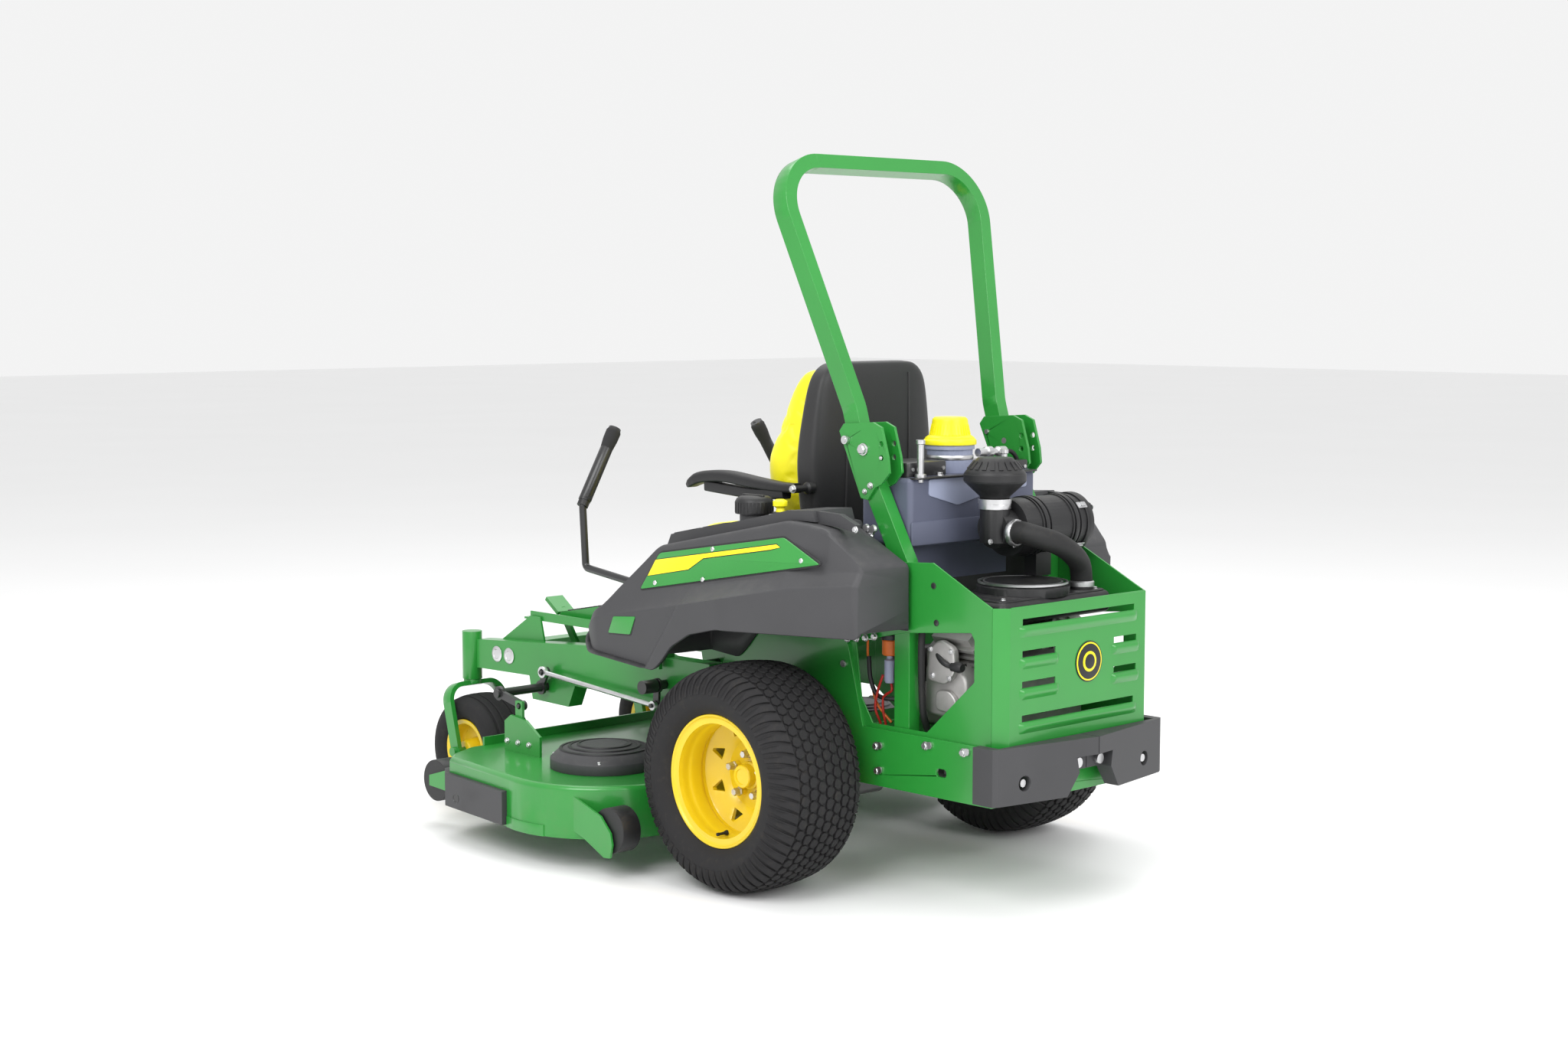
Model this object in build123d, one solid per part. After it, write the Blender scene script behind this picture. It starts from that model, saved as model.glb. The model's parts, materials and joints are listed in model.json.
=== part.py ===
from build123d import *
import math
import os

# Zero turn mower. Axes: +X to the operator's left, +Y to the rear, +Z up. The modelling origin is on
# the ground under the middle of the rear axle; every node is then moved by PLACE, so that the origin
# of the finished part is the centre of its footprint.

# ---------------------------------------------------------------- overall sizes
TYRE_R = 296.0            # rear tyre, 24 x 12 turf tyre
TYRE_W = 295.0
HALF_TRACK = 507.0        # centre plane to the middle of a rear tyre
CASTER_R = 165.5          # front tyre, 13 x 6.5
CASTER_W = 165.0
CASTER_X = 365.0
CASTER_AXLE_Y = -1342.0
TRAIL = 50.0              # the caster pivot stands this far ahead of its axle
DECK_HALF = 785.0         # deck shell without its chute
CHUTE_REACH = 985.0
GUARD_Y = 668.0           # rear face of the engine guard
GUARD_HALF = 266.0
GUARD_TOP = 769.0
BUMPER_HALF = 332.0
HOOP_TOP = 1895.0
SEAT_TOP = 1353.0

# ---------------------------------------------------------------- clearances
RUN = 0.05                # radial running clearance of a shaft in its bore
GAP = 0.5                 # between pieces that pass each other
SOFT_GAP = 0.3            # between a cushion and its shell

# ---------------------------------------------------------------- sheet and tube
PLATE_IN = 295.0          # inner face of the frame side plates
PLATE_T = 8.0
PLATE_BOTTOM = 277.0
PLATE_TOP = 425.0
HITCH_R = 10.0
HITCH_Z = 312.0
PANEL_T = 4.0
RAIL_W = 50.0
AXLE_R = 20.0
LIFT_SHAFT_R = 12.7

# ---------------------------------------------------------------- deck
SKIRT_Z = 91.0
DECK_TOP_Z = 233.0
DECK_T = 5.0
SPINDLE_X = 500.0
SPINDLE_Y = -600.0
CENTRE_SPINDLE_Y = -810.0
LOBE_R = 285.0
BLADE_R = 262.0
SPINDLE_SHAFT_R = 12.5
COVER_R = 150.0
ROLLER_R = 60.0
ROLLER_Z = 133.0
REAR_ROLLER = (697.0, -308.0)
FRONT_ROLLER = (640.0, -1160.0)
CHUTE_Y0 = -850.0
CHUTE_Y1 = -560.0

# ---------------------------------------------------------------- deck lift
LIFT_TURN = 23.6          # degrees of the lift shafts from the set height to transport height
ARM = 110.0
CRANK = 55.0
FRONT_SHAFT = (-1030.0, 388.0)
REAR_SHAFT = (-510.0, 455.0)
LIFT_TRAVEL = 2 * ARM * math.sin(math.radians(LIFT_TURN / 2))
ROD_X = 396.0
FRONT_ARM_X = 540.0       # outer faces of the arms that carry the deck
REAR_ARM_X = 244.0
LINK_T = 8.0
LINK_PIN_R = 6.0

# ---------------------------------------------------------------- rollover hoop
ROPS_X = 271.0            # middle of the hoop's feet
HOOP_W = 38.0
HOOP_D = 51.0
HOOP_PIVOT = (200.0, 1137.0)
HOOP_PIN = (140.0, 1159.0)
HOOP_LEAN = 16.5
HOOP_CORNER = 395.0       # where the lines of a leg and of the top bar meet
HOOP_BEND = 127.0
HOOP_FOOT = (164.0, 1159.0)
HOOP_PLATE_T = 8.0
PIVOT_R = 8.0
LOCK_PIN_R = 6.35
LOCK_REACH = 56.5
CANOPY_Y = 262.0
CANOPY_Z = (1118.0, 1153.0)
CANOPY_R = 7.0

# ---------------------------------------------------------------- control levers
LEVER_X = 404.0
LEVER_PIVOT = (-520.0, 650.0)
LEVER_TILT_Z = 690.0

# ---------------------------------------------------------------- seat
SEAT_HINGE = (-570.0, 742.0)
SEAT_PAN_Z = 776.0
HINGE_PIN_R = 6.0
ARMREST_PIVOT = (-62.0, 1020.0)

CASTER_PIVOT_Y = CASTER_AXLE_Y - TRAIL
TRIM_X = DECK_HALF + 6.0
BUMPER_END_Y = GUARD_Y + 12.0
BUMPER_BOW = 55.0
PLACE = (
    (CHUTE_REACH - TRIM_X) / 2,
    (CASTER_R - CASTER_AXLE_Y - BUMPER_END_Y - BUMPER_BOW) / 2,
    0.0,
)


# ---------------------------------------------------------------- shape helpers
os.makedirs("parts", exist_ok=True)


def block(x0, x1, y0, y1, z0, z1):
    middle = Pos((x0 + x1) / 2, (y0 + y1) / 2, (z0 + z1) / 2)
    return middle * Box(abs(x1 - x0), abs(y1 - y0), abs(z1 - z0))


def round_block(x0, x1, y0, y1, z0, z1, radius):
    shape = block(x0, x1, y0, y1, z0, z1)
    return fillet(shape.edges(), radius)


def disc(axis, centre, radius, length):
    turn = {"x": Rot(0, 90, 0), "y": Rot(90, 0, 0), "z": Rot(0, 0, 0)}[axis]
    return Pos(*centre) * turn * Cylinder(radius, length)


def ring(axis, centre, radius, bore, length):
    return disc(axis, centre, radius, length) - disc(axis, centre, bore, length + 2)


def side_slab(points, x0, x1):
    face = make_face(Polyline(*[(x0, y, z) for y, z in points], close=True))
    return extrude(face, amount=x1 - x0, dir=(1, 0, 0))


def cross_slab(points, y0, y1):
    face = make_face(Polyline(*[(x, y0, z) for x, z in points], close=True))
    return extrude(face, amount=y1 - y0, dir=(0, 1, 0))


def plan_slab(points, z0, z1):
    face = make_face(Polyline(*[(x, y, z0) for x, y in points], close=True))
    return extrude(face, amount=z1 - z0, dir=(0, 0, 1))


def rod(start, end, radius):
    run = Vector(*end) - Vector(*start)
    seat = Plane(origin=start, z_dir=run)
    return seat * Cylinder(radius, run.length, align=(Align.CENTER, Align.CENTER, Align.MIN))


def beam(start, end, width, height):
    run = Vector(*end) - Vector(*start)
    side = Vector(0, 0, 1).cross(run)
    seat = Plane(origin=start, x_dir=side, z_dir=run)
    return seat * Box(width, height, run.length, align=(Align.CENTER, Align.CENTER, Align.MIN))


def pipe(points, radius, bend):
    path = FilletPolyline(*points, radius=bend)
    section = Plane(origin=path @ 0, z_dir=path % 0) * Circle(radius)
    return sweep(section, path=path)


def bar(points, bend, x_dir, width, depth):
    path = FilletPolyline(*points, radius=bend)
    section = Plane(origin=path @ 0, x_dir=x_dir, z_dir=path % 0) * Rectangle(width, depth)
    return sweep(section, path=path)


def turned(points, centre):
    face = make_face(Polyline(*[(x, 0, r) for x, r in points], close=True))
    return Pos(*centre) * revolve(face, axis=Axis.X, revolution_arc=360)


def dome(profile, centre):
    face = make_face(Polyline(*[(r, 0, z) for r, z in profile], close=True))
    return Pos(*centre) * revolve(face, axis=Axis.Z, revolution_arc=360)


def mirrored(shape):
    return mirror(shape, about=Plane.YZ)


def both(shape):
    return [shape, mirrored(shape)]


def save(name, *pieces):
    solids = []
    for piece in pieces:
        members = piece if isinstance(piece, (list, tuple)) else [piece]
        for member in members:
            solids.extend(member.solids())
    placed = [Pos(*PLACE) * solid for solid in solids]
    export_step(Compound(children=placed) if len(placed) > 1 else placed[0], f"parts/{name}.step")


def left_and_right(name, shape):
    save(f"{name}_left", shape)
    save(f"{name}_right", mirrored(shape))


# ---------------------------------------------------------------- wheels
def tyre(radius, width, bead, flange, seat_half, centre, wall):
    half = width / 2
    outer = [
        (-seat_half, bead),
        (-seat_half, flange + 1),
        (-half, flange + 0.2 * (radius - bead)),
        (-half, radius - 0.42 * (radius - bead)),
        (-half + 0.06 * width, radius - 0.16 * (radius - bead)),
        (-half + 0.2 * width, radius - 0.04 * (radius - bead)),
        (0, radius),
    ]
    inner = [
        (-seat_half + wall, bead),
        (-seat_half + wall, flange - 2),
        (-half + wall, flange + 0.25 * (radius - bead)),
        (-half + wall, radius - 0.45 * (radius - bead)),
        (-half + 0.2 * width, radius - wall - 0.08 * (radius - bead)),
        (0, radius - wall),
    ]
    profile = outer + [(-x, r) for x, r in outer[-2::-1]] + [(-x, r) for x, r in inner] + inner[-2::-1]
    return turned(profile, centre)


REAR_SEAT_R = 152.0
REAR_FLANGE_R = 170.0
REAR_SEAT_HALF = 112.0


def rear_rim():
    seat = REAR_SEAT_R
    flange = REAR_FLANGE_R
    half = REAR_SEAT_HALF
    t = 4.0
    face = -16.0
    profile = [
        (-half - t, flange),
        (-half, flange),
        (-half, seat),
        (half, seat),
        (half, flange),
        (half + t, flange),
        (half + t, seat - t),
        (face + 40, seat - t),
        (face + 34, 138.0),
        (face + 12, 96.0),
        (face + 6, 90.0),
        (face + 6, AXLE_R + RUN),
        (face, AXLE_R + RUN),
        (face, 92.0),
        (face + 6, 100.0),
        (face + 24, seat - t),
        (-half - t, seat - t),
    ]
    centre = (HALF_TRACK, 0, TYRE_R)
    rim = turned(profile, centre)
    vent = make_face(Polyline((0, 108, -17), (0, 136, -4), (0, 136, 4), (0, 108, 17), close=True))
    hole = extrude(vent, amount=70, dir=(1, 0, 0))
    for index in range(8):
        rim -= Pos(HALF_TRACK - 25, 0, TYRE_R) * Rot(45 * index + 22.5, 0, 0) * hole
    for index in range(5):
        turn = math.radians(72 * index + 90)
        spot = (HALF_TRACK + face + 14, 57.15 * math.cos(turn), TYRE_R + 57.15 * math.sin(turn))
        rim += disc("x", spot, 11, 18)
    cap = disc("x", (HALF_TRACK + face + 24, 0, TYRE_R), 30, 40)
    cap -= disc("x", (HALF_TRACK + face + 15, 0, TYRE_R), AXLE_R + RUN, 40)
    return rim + cap


tyre_left = tyre(TYRE_R, TYRE_W, REAR_SEAT_R, REAR_FLANGE_R, REAR_SEAT_HALF, (HALF_TRACK, 0, TYRE_R), 12.0)
left_and_right("tyre_rear", tyre_left)
left_and_right("rim_rear", rear_rim())

caster_centre = (CASTER_X, CASTER_AXLE_Y, CASTER_R)
caster_tyre = tyre(CASTER_R, CASTER_W, 82.0, 92.0, 62.0, caster_centre, 9.0)
left_and_right("caster_tyre", caster_tyre)
CASTER_AXLE_R = 9.5
caster_rim_profile = [
    (-66, 92),
    (-62, 92),
    (-62, 82),
    (62, 82),
    (62, 92),
    (66, 92),
    (66, 79),
    (20, 79),
    (14, 30),
    (70, 26),
    (70, CASTER_AXLE_R + RUN),
    (-70, CASTER_AXLE_R + RUN),
    (-70, 26),
    (8, 30),
    (14, 79),
    (-66, 79),
]
left_and_right("caster_rim", turned(caster_rim_profile, caster_centre))

# ---------------------------------------------------------------- caster forks
STEM_R = 20.0
TUBE_R = 30.0
TUBE_Z0 = 372.0
TUBE_Z1 = 517.0
FORK_X = 98.0
FORK_TOP = 357.0
fork_points = [
    (CASTER_X + FORK_X, CASTER_AXLE_Y, CASTER_R),
    (CASTER_X + FORK_X, CASTER_PIVOT_Y, FORK_TOP),
    (CASTER_X - FORK_X, CASTER_PIVOT_Y, FORK_TOP),
    (CASTER_X - FORK_X, CASTER_AXLE_Y, CASTER_R),
]
fork = bar(fork_points, 50.0, (1, 0, 0), 14.0, 38.0)
for side in (-1, 1):
    fork += disc("x", (CASTER_X + side * FORK_X, CASTER_AXLE_Y, CASTER_R), 21, 14)
    fork += disc("x", (CASTER_X + side * (FORK_X + 12), CASTER_AXLE_Y, CASTER_R), 14, 12)
fork += disc("x", caster_centre, CASTER_AXLE_R, 2 * FORK_X)
fork += disc("z", (CASTER_X, CASTER_PIVOT_Y, (FORK_TOP + TUBE_Z0 - GAP) / 2), 27, TUBE_Z0 - GAP - FORK_TOP)
fork += disc("z", (CASTER_X, CASTER_PIVOT_Y, (FORK_TOP + TUBE_Z1 - 14) / 2), STEM_R, TUBE_Z1 - 14 - FORK_TOP)
left_and_right("caster_fork", fork)

# ---------------------------------------------------------------- frame
RAIL_START = (327.0, -330.0)
RAIL_END = (345.0, CASTER_PIVOT_Y + TUBE_R)
rail_plan = [
    (RAIL_START[0] - RAIL_W / 2, RAIL_START[1]),
    (RAIL_START[0] + RAIL_W / 2, RAIL_START[1]),
    (RAIL_END[0] + RAIL_W / 2, RAIL_END[1]),
    (RAIL_END[0] - RAIL_W / 2, RAIL_END[1]),
]
rail_side = [
    (RAIL_START[1], 400),
    (RAIL_START[1], 530),
    (-830, 530),
    (RAIL_END[1], 494),
    (RAIL_END[1], 408),
    (-1110, 412),
    (-1095, 344),
    (-930, 340),
    (-900, 405),
    (-560, 398),
]
rail = plan_slab(rail_plan, 330, 540) & side_slab(rail_side, 200, 480)
inner_side = [
    (RAIL_START[1] + 5, 406),
    (RAIL_START[1] + 5, 524),
    (-832, 524),
    (RAIL_END[1] + 6, 488),
    (RAIL_END[1] + 6, 414),
    (-1120, 418),
    (-900, 412),
]
inner_plan = [
    (RAIL_START[0] - RAIL_W / 2 + 6, RAIL_START[1] + 5),
    (RAIL_START[0] + RAIL_W / 2 - 6, RAIL_START[1] + 5),
    (RAIL_END[0] + RAIL_W / 2 - 6, RAIL_END[1] + 6),
    (RAIL_END[0] - RAIL_W / 2 + 6, RAIL_END[1] + 6),
]
rail -= plan_slab(inner_plan, 330, 540) & side_slab(inner_side, 200, 480)
rail -= disc("x", (340, FRONT_SHAFT[0], FRONT_SHAFT[1]), LIFT_SHAFT_R + RUN, 140)
rail -= disc("x", (340, REAR_SHAFT[0], REAR_SHAFT[1]), LIFT_SHAFT_R + RUN, 140)
gusset = side_slab([(-1300, 492), (-1150, 583), (-1105, 583), (-1085, 508)], 322, 328)
caster_tube = disc("z", (CASTER_X, CASTER_PIVOT_Y, (TUBE_Z0 + TUBE_Z1) / 2), TUBE_R, TUBE_Z1 - TUBE_Z0)
stem_bore = disc("z", (CASTER_X, CASTER_PIVOT_Y, TUBE_Z0), STEM_R + RUN, 2 * (TUBE_Z1 - 10 - TUBE_Z0))
lever_post = block(370, 382, LEVER_PIVOT[0] - 16, LEVER_PIVOT[0] + 16, 500, LEVER_PIVOT[1] + 16)
lever_post += block(325, 382, LEVER_PIVOT[0] - 16, LEVER_PIVOT[0] + 16, 526, 540)
lever_post += disc("x", (394, LEVER_PIVOT[0], LEVER_PIVOT[1]), 8, 36)
lever_post -= disc("x", (376, REAR_SHAFT[0], REAR_SHAFT[1]), LIFT_SHAFT_R + 4, 30)
frame_rail = (rail + gusset + caster_tube + lever_post) - stem_bore
save("frame_rails", both(frame_rail))

side_plate_points = [
    (-330, 400),
    (-150, PLATE_BOTTOM),
    (GUARD_Y - 32, PLATE_BOTTOM),
    (GUARD_Y - 32, PLATE_TOP),
    (205, PLATE_TOP),
    (150, 632),
    (120, 690),
    (-230, 690),
    (-330, 530),
]
side_plate = side_slab(side_plate_points, PLATE_IN, PLATE_IN + PLATE_T)
side_plate -= disc("x", (PLATE_IN, 0, TYRE_R), 44, 30)
side_plate -= round_block(PLATE_IN - 20, PLATE_IN + 30, 461, 495, 331, 352, 9)
save("side_plates", both(side_plate))

front_tube = block(-318.5, 318.5, -1342, -1282, 430, 480)
engine_deck = block(PANEL_T - PLATE_IN, PLATE_IN - PANEL_T, 190, GUARD_Y - 32, 417, 423)
engine_deck -= disc("z", (0, 400, 420), 60, 20)
hitch = block(-PLATE_IN - PLATE_T, PLATE_IN + PLATE_T, GUARD_Y - 32, GUARD_Y - 24, PLATE_BOTTOM, 417)
hitch -= disc("y", (0, GUARD_Y - 28, HITCH_Z), HITCH_R, 20)
axle_beam = block(-PLATE_IN, PLATE_IN, -60, 60, 352, 392)
seat_beam = block(-PLATE_IN, PLATE_IN, -300, -262, 640, SEAT_HINGE[1] - SOFT_GAP)
riser = block(-260, 260, -612, -604, 576, 735)
for side in (-1, 1):
    riser += block(side * 206 - 6, side * 206 + 6, -604, SEAT_HINGE[0] + 14, 700, SEAT_HINGE[1] + 14)
riser -= disc("x", (0, SEAT_HINGE[0], SEAT_HINGE[1]), HINGE_PIN_R + RUN, 500)
save("crossmembers", front_tube, engine_deck, hitch, axle_beam, seat_beam, riser)

# ---------------------------------------------------------------- engine guard
panel_points = [
    (165, 400),
    (GUARD_Y - 33, 400),
    (GUARD_Y - 33, GUARD_TOP),
    (GUARD_Y - 56, 780),
    (440, 865),
    (324, 858),
    (300, 715),
    (140, 700),
    (140, 632),
]
window = [
    (172, 642),
    (346, 680),
    (567, 702),
    (578, 685),
    (578, 581),
    (421, 436),
    (233, 436),
    (192, 499),
]
guard_side = side_slab(panel_points, PLATE_IN - PANEL_T, PLATE_IN)
guard_side -= side_slab(window, PLATE_IN - 40, PLATE_IN + 40)
corner = GUARD_Y - 32
rear_plan = [
    (PLATE_IN, corner),
    (GUARD_HALF, GUARD_Y),
    (-GUARD_HALF, GUARD_Y),
    (-PLATE_IN, corner),
    (-PLATE_IN + PANEL_T, corner),
    (-GUARD_HALF + 2, GUARD_Y - PANEL_T),
    (GUARD_HALF - 2, GUARD_Y - PANEL_T),
    (PLATE_IN - PANEL_T, corner),
]
guard_rear = plan_slab(rear_plan, 417, GUARD_TOP)
for x0, x1, z in (
    (-219, 219, 731),
    (93, 219, 652),
    (-229, -138, 652),
    (93, 219, 576),
    (-229, -138, 576),
    (-219, 219, 492),
):
    guard_rear -= block(x0, x1, GUARD_Y - 20, GUARD_Y + 20, z - 8, z + 8)
save("guard_panels", both(guard_side), guard_rear)

# ---------------------------------------------------------------- rear bumper
def bumper_half():
    face_y = BUMPER_END_Y + BUMPER_BOW
    plan = [
        (1, GUARD_Y + 6),
        (PLATE_IN + PLATE_T + 2, GUARD_Y + 0.5),
        (PLATE_IN + PLATE_T + 2, GUARD_Y - 60),
        (BUMPER_HALF, GUARD_Y - 60),
        (BUMPER_HALF, BUMPER_END_Y - 8),
        (BUMPER_HALF - 14, BUMPER_END_Y),
        (1, face_y),
    ]
    shape = plan_slab(plan, 288, 430)
    notch = [(-10, 280), (106, 280), (62, 345), (-10, 345)]
    shape -= cross_slab(notch, GUARD_Y - 80, GUARD_Y + 120)
    shape -= cross_slab([(-10, 345), (62, 345), (70, 385), (-10, 385)], GUARD_Y + 26, GUARD_Y + 120)
    shape += block(130, 200, GUARD_Y - 24, GUARD_Y + 8, 300, 380)
    shape -= disc("y", (236, BUMPER_END_Y + 10, 338), 19, 60)
    return shape


save("rear_bumper", both(bumper_half()))

# ---------------------------------------------------------------- engine
crankcase = round_block(-150, 150, 280, 560, 423, 620, 12)
engine = crankcase
for side in (-1, 1):
    barrel = block(-62, 62, -62, 62, 0, 150)
    for level in range(5):
        barrel += block(-74, 74, -74, 74, 20 + 24 * level, 30 + 24 * level)
    engine += Pos(side * 92, 440, 590) * Rot(0, side * 38, 0) * barrel
save("engine_block", engine)
shroud = round_block(-215, 215, 360, 600, 712, 770, 18)
shroud += dome([(0, 0), (120, 0), (120, 22), (96, 34), (0, 34)], (0, 480, 768))
save("engine_shroud", shroud - engine)
MUFFLER_Y = 215.0
muffler = disc("x", (0, MUFFLER_Y, 560), 55, 300)
muffler += rod((-120, MUFFLER_Y, 520), (-120, MUFFLER_Y, 438), 18)
muffler += block(-60, 60, MUFFLER_Y - 10, MUFFLER_Y + 10, 423, 515)
save("muffler", muffler)

CANISTER_Y = 436.0
CANISTER_Z = 935.0
CANISTER_R = 74.0
canister = disc("x", (-108, CANISTER_Y, CANISTER_Z), CANISTER_R, 250)
canister += disc("x", (-232, CANISTER_Y, CANISTER_Z), CANISTER_R + 4, 26)
for x in (-180, -60):
    canister += disc("x", (x, CANISTER_Y, CANISTER_Z), CANISTER_R + 4, 14)
canister += disc("x", (40, CANISTER_Y, CANISTER_Z), 50, 60)
canister += disc("z", (61, CANISTER_Y, 955), 38, 110)
canister += block(-140, -80, CANISTER_Y - 20, CANISTER_Y + 20, 803, 865)
cleaner_profile = [(0, 0), (34, 0), (40, 14), (79, 50), (79, 72), (70, 84), (44, 112), (0, 112)]
precleaner = dome(cleaner_profile, (61, CANISTER_Y, 1005))
save("air_cleaner", canister + precleaner)
hose_points = [
    (50, 486.5, 928),
    (50, 545, 928),
    (-60, 570, 890),
    (-150, 550, 815),
    (-150, 550, 770),
]
save("intake_hose", pipe(hose_points, 29.0, 26.0))

# ---------------------------------------------------------------- transaxles and axle shafts
drive = round_block(120, 288, -95, 110, 215, 351.5, 14)
drive += disc("x", (280, 0, TYRE_R), 42, 50)
drive += rod((290, 0, TYRE_R), (HALF_TRACK - 1, 0, TYRE_R), AXLE_R)
drive += disc("x", (HALF_TRACK - 24, 0, TYRE_R), 46, 14)
drive += disc("z", (200, 0, 209), 60, 14)
save("transaxles", both(drive))

# ---------------------------------------------------------------- fuel tank, filler and cap
TANK_TOP = 1067.0
TANK_HALF = ROPS_X - HOOP_W / 2 - SOFT_GAP - HOOP_PLATE_T
tank = round_block(-TANK_HALF, TANK_HALF, 138, 312, 888, TANK_TOP, 14)
tank += block(-200, 200, 190, 250, 790, 890)
save("fuel_tank", tank)
CAP = (0.0, 225.0)
filler = disc("z", (CAP[0], CAP[1], TANK_TOP + 36), 60, 72)
filler += disc("z", (CAP[0], CAP[1], TANK_TOP + 66), 65, 12)
filler += disc("z", (CAP[0], CAP[1], TANK_TOP + 90), 26, 36)
save("filler_neck", filler)
cap_profile = [(26 + RUN, 0), (70, 0), (64, 18), (52, 26), (46, 66), (40, 71), (0, 71), (0, 40), (26 + RUN, 40)]
save("fuel_cap", dome(cap_profile, (CAP[0], CAP[1], TANK_TOP + 72.4)))

# ---------------------------------------------------------------- fenders, trim panels and consoles
FENDER_OUT = 620.0
FENDER_IN = PLATE_IN + PLATE_T
FENDER_TAIL = 500.0
FENDER_REAR = 372.0
TAPER_Y = 8.0
NOSE_IN = 452.0
NOSE_Y = -388.0


def lean_x(z):
    return 580 - 0.4 * (z - 745)


def fender_body(inset):
    out = FENDER_OUT - inset
    profile = [
        (-596 + inset, 606),
        (-520 + inset, 570 - 2 * inset),
        (-262 + 2 * inset, 548 - 3 * inset),
        (-190 + inset, 618 - inset),
        (-120, 657 - inset),
        (-20, 680 - inset),
        (FENDER_REAR - inset, 682 - inset),
        (FENDER_REAR - inset, 846 - inset),
        (262 - inset, 952 - inset),
        (120, 962 - inset),
        (-330 + inset, 868 - inset),
        (-480 + inset, 700 - inset),
        (-590 + inset, 648 - inset),
    ]
    body = side_slab(profile, FENDER_IN + inset, out)
    body -= cross_slab([(out - 22, 1000), (out - 22, 850), (out, 740), (700, 740), (700, 1000)], -700, 600)
    lean = [(lean_x(1000) - inset, 1000), (lean_x(670) - inset, 670), (760, 670), (760, 1000)]
    belt = [(-700, 633 - inset), (FENDER_REAR, 846 - inset), (600, 891 - inset), (600, 1010), (-700, 1010)]
    body -= cross_slab(lean, -700, 600) & side_slab(belt, 290, 760)
    body -= block(290, NOSE_IN + inset, -700, NOSE_Y + inset, 500, 1000)
    body -= block(290, 440 + inset, 205 - inset, 600, 846 - inset, 1000)
    taper = [(out, TAPER_Y), (FENDER_TAIL - inset, FENDER_REAR), (FENDER_TAIL - inset, 600), (760, 600), (760, TAPER_Y)]
    body -= plan_slab(taper, 500, 1000)
    tip = [(out - 62, -700), (out - 62, -600 + inset), (out, -500 + inset), (760, -500 + inset), (760, -700)]
    return body - plan_slab(tip, 500, 900)


fender_open = [
    (-500, 530),
    (-262, 530),
    (-185, 608),
    (-120, 648),
    (-20, 674),
    (367, 676),
    (367, 700),
    (-470, 640),
]
fender_cut = side_slab(fender_open, FENDER_IN + 5, FENDER_OUT - 5)
fender_cut -= block(290, NOSE_IN + 5, -700, NOSE_Y + 5, 500, 1000)
open_plan = [(250, -700), (FENDER_OUT - 5, -700), (FENDER_OUT - 5, TAPER_Y), (FENDER_TAIL - 5, FENDER_REAR), (250, FENDER_REAR)]
fender_cut &= plan_slab(open_plan, 500, 1000)
fender = fender_body(0.0) - fender_body(5.0) - fender_cut
left_and_right("fender", fender)

trim_points = [(-350, 752), (-315, 850), (132, 922), (282, 864)]
trim_plate = [(lean_x(740), 740), (lean_x(740) + 4, 740), (lean_x(1000) + 4, 1000), (lean_x(1000), 1000)]
trim = side_slab(trim_points, 440, 640) & cross_slab(trim_plate, -500, 500)
badge = side_slab([(-452, 630), (-430, 676), (-330, 684), (-352, 634)], FENDER_OUT, FENDER_OUT + 3)
save("side_panels", both(trim), both(badge))

DIAL = (412.0, -86.0, 962.0)
PTO = (412.0, 12.0, 972.0)
console_points = [(-330, 868), (120, 962), (200, 962), (190, 990), (100, 985), (-40, 955), (-350, 893), (-372, 850)]
console = side_slab(console_points, 330, 470)
console += side_slab([(45, 955), (85, 984), (180, 989), (274, 985), (330, 962), (322, 945), (262, 953), (120, 963)], 441, 458)
console += disc("z", (DIAL[0], DIAL[1], DIAL[2] - 14), 38, 28)
console += disc("z", (DIAL[0], DIAL[1], DIAL[2] + 10), 8, 20)
console += disc("z", (PTO[0], PTO[1], PTO[2] - 8), 20, 16)
console += disc("z", (PTO[0], PTO[1], PTO[2] + 9), 5, 18)
save("consoles", both(console))
dial_profile = [(8 + RUN, 0.5), (50, 0.5), (50, 30), (40, 44), (0, 48), (0, 22), (8 + RUN, 22)]
save("dial_knob", dome(dial_profile, DIAL))
pto_profile = [(5 + RUN, 0.5), (12, 0.5), (10, 10), (19, 16), (19, 28), (10, 33), (0, 33), (0, 20), (5 + RUN, 20)]
save("pto_knob", dome(pto_profile, PTO))

# ---------------------------------------------------------------- seat
pan_frame = block(-225, 225, -540, -70, SEAT_HINGE[1], SEAT_HINGE[1] + 6)
for side in (-1, 1):
    pan_frame += block(side * 170 - 15, side * 170 + 15, -530, -80, SEAT_HINGE[1] + 6, SEAT_PAN_Z - GAP)
    pan_frame += block(side * 185 - 6, side * 185 + 6, SEAT_HINGE[0] - 8, -530, SEAT_HINGE[1] - 6, SEAT_HINGE[1] + 6)
pan_frame += disc("x", (0, SEAT_HINGE[0], SEAT_HINGE[1]), HINGE_PIN_R, 440)
save("seat_frame", pan_frame)
shell_points = [
    (-600, SEAT_PAN_Z),
    (-100, SEAT_PAN_Z),
    (-72, 800),
    (-38, 1325),
    (-60, 1335),
    (-96, 830),
    (-125, 790),
    (-600, 790),
]
seat_outline = [(-215, 770), (215, 770), (215, 1080), (182, 1340), (-182, 1340), (-215, 1080)]
shell = side_slab(shell_points, -215, 215) & cross_slab(seat_outline, -700, 100)
for side in (-1, 1):
    shell += disc("x", (side * 230, ARMREST_PIVOT[0], ARMREST_PIVOT[1]), 14, 40)
    shell += disc("x", (side * 262, ARMREST_PIVOT[0], ARMREST_PIVOT[1]), 8, 60)
save("seat_shell", shell)
cushion = round_block(-240, 240, -640, -150, 790 + SOFT_GAP, 872, 28)
save("seat_cushion", cushion)
back_points = [
    (-165, 884),
    (-93.5, 884),
    (-61.5, 1325),
    (-66, 1340),
    (-100, SEAT_TOP),
    (-160, 1345),
    (-200, 1290),
    (-300, 1085),
    (-262, 930),
]
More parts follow.
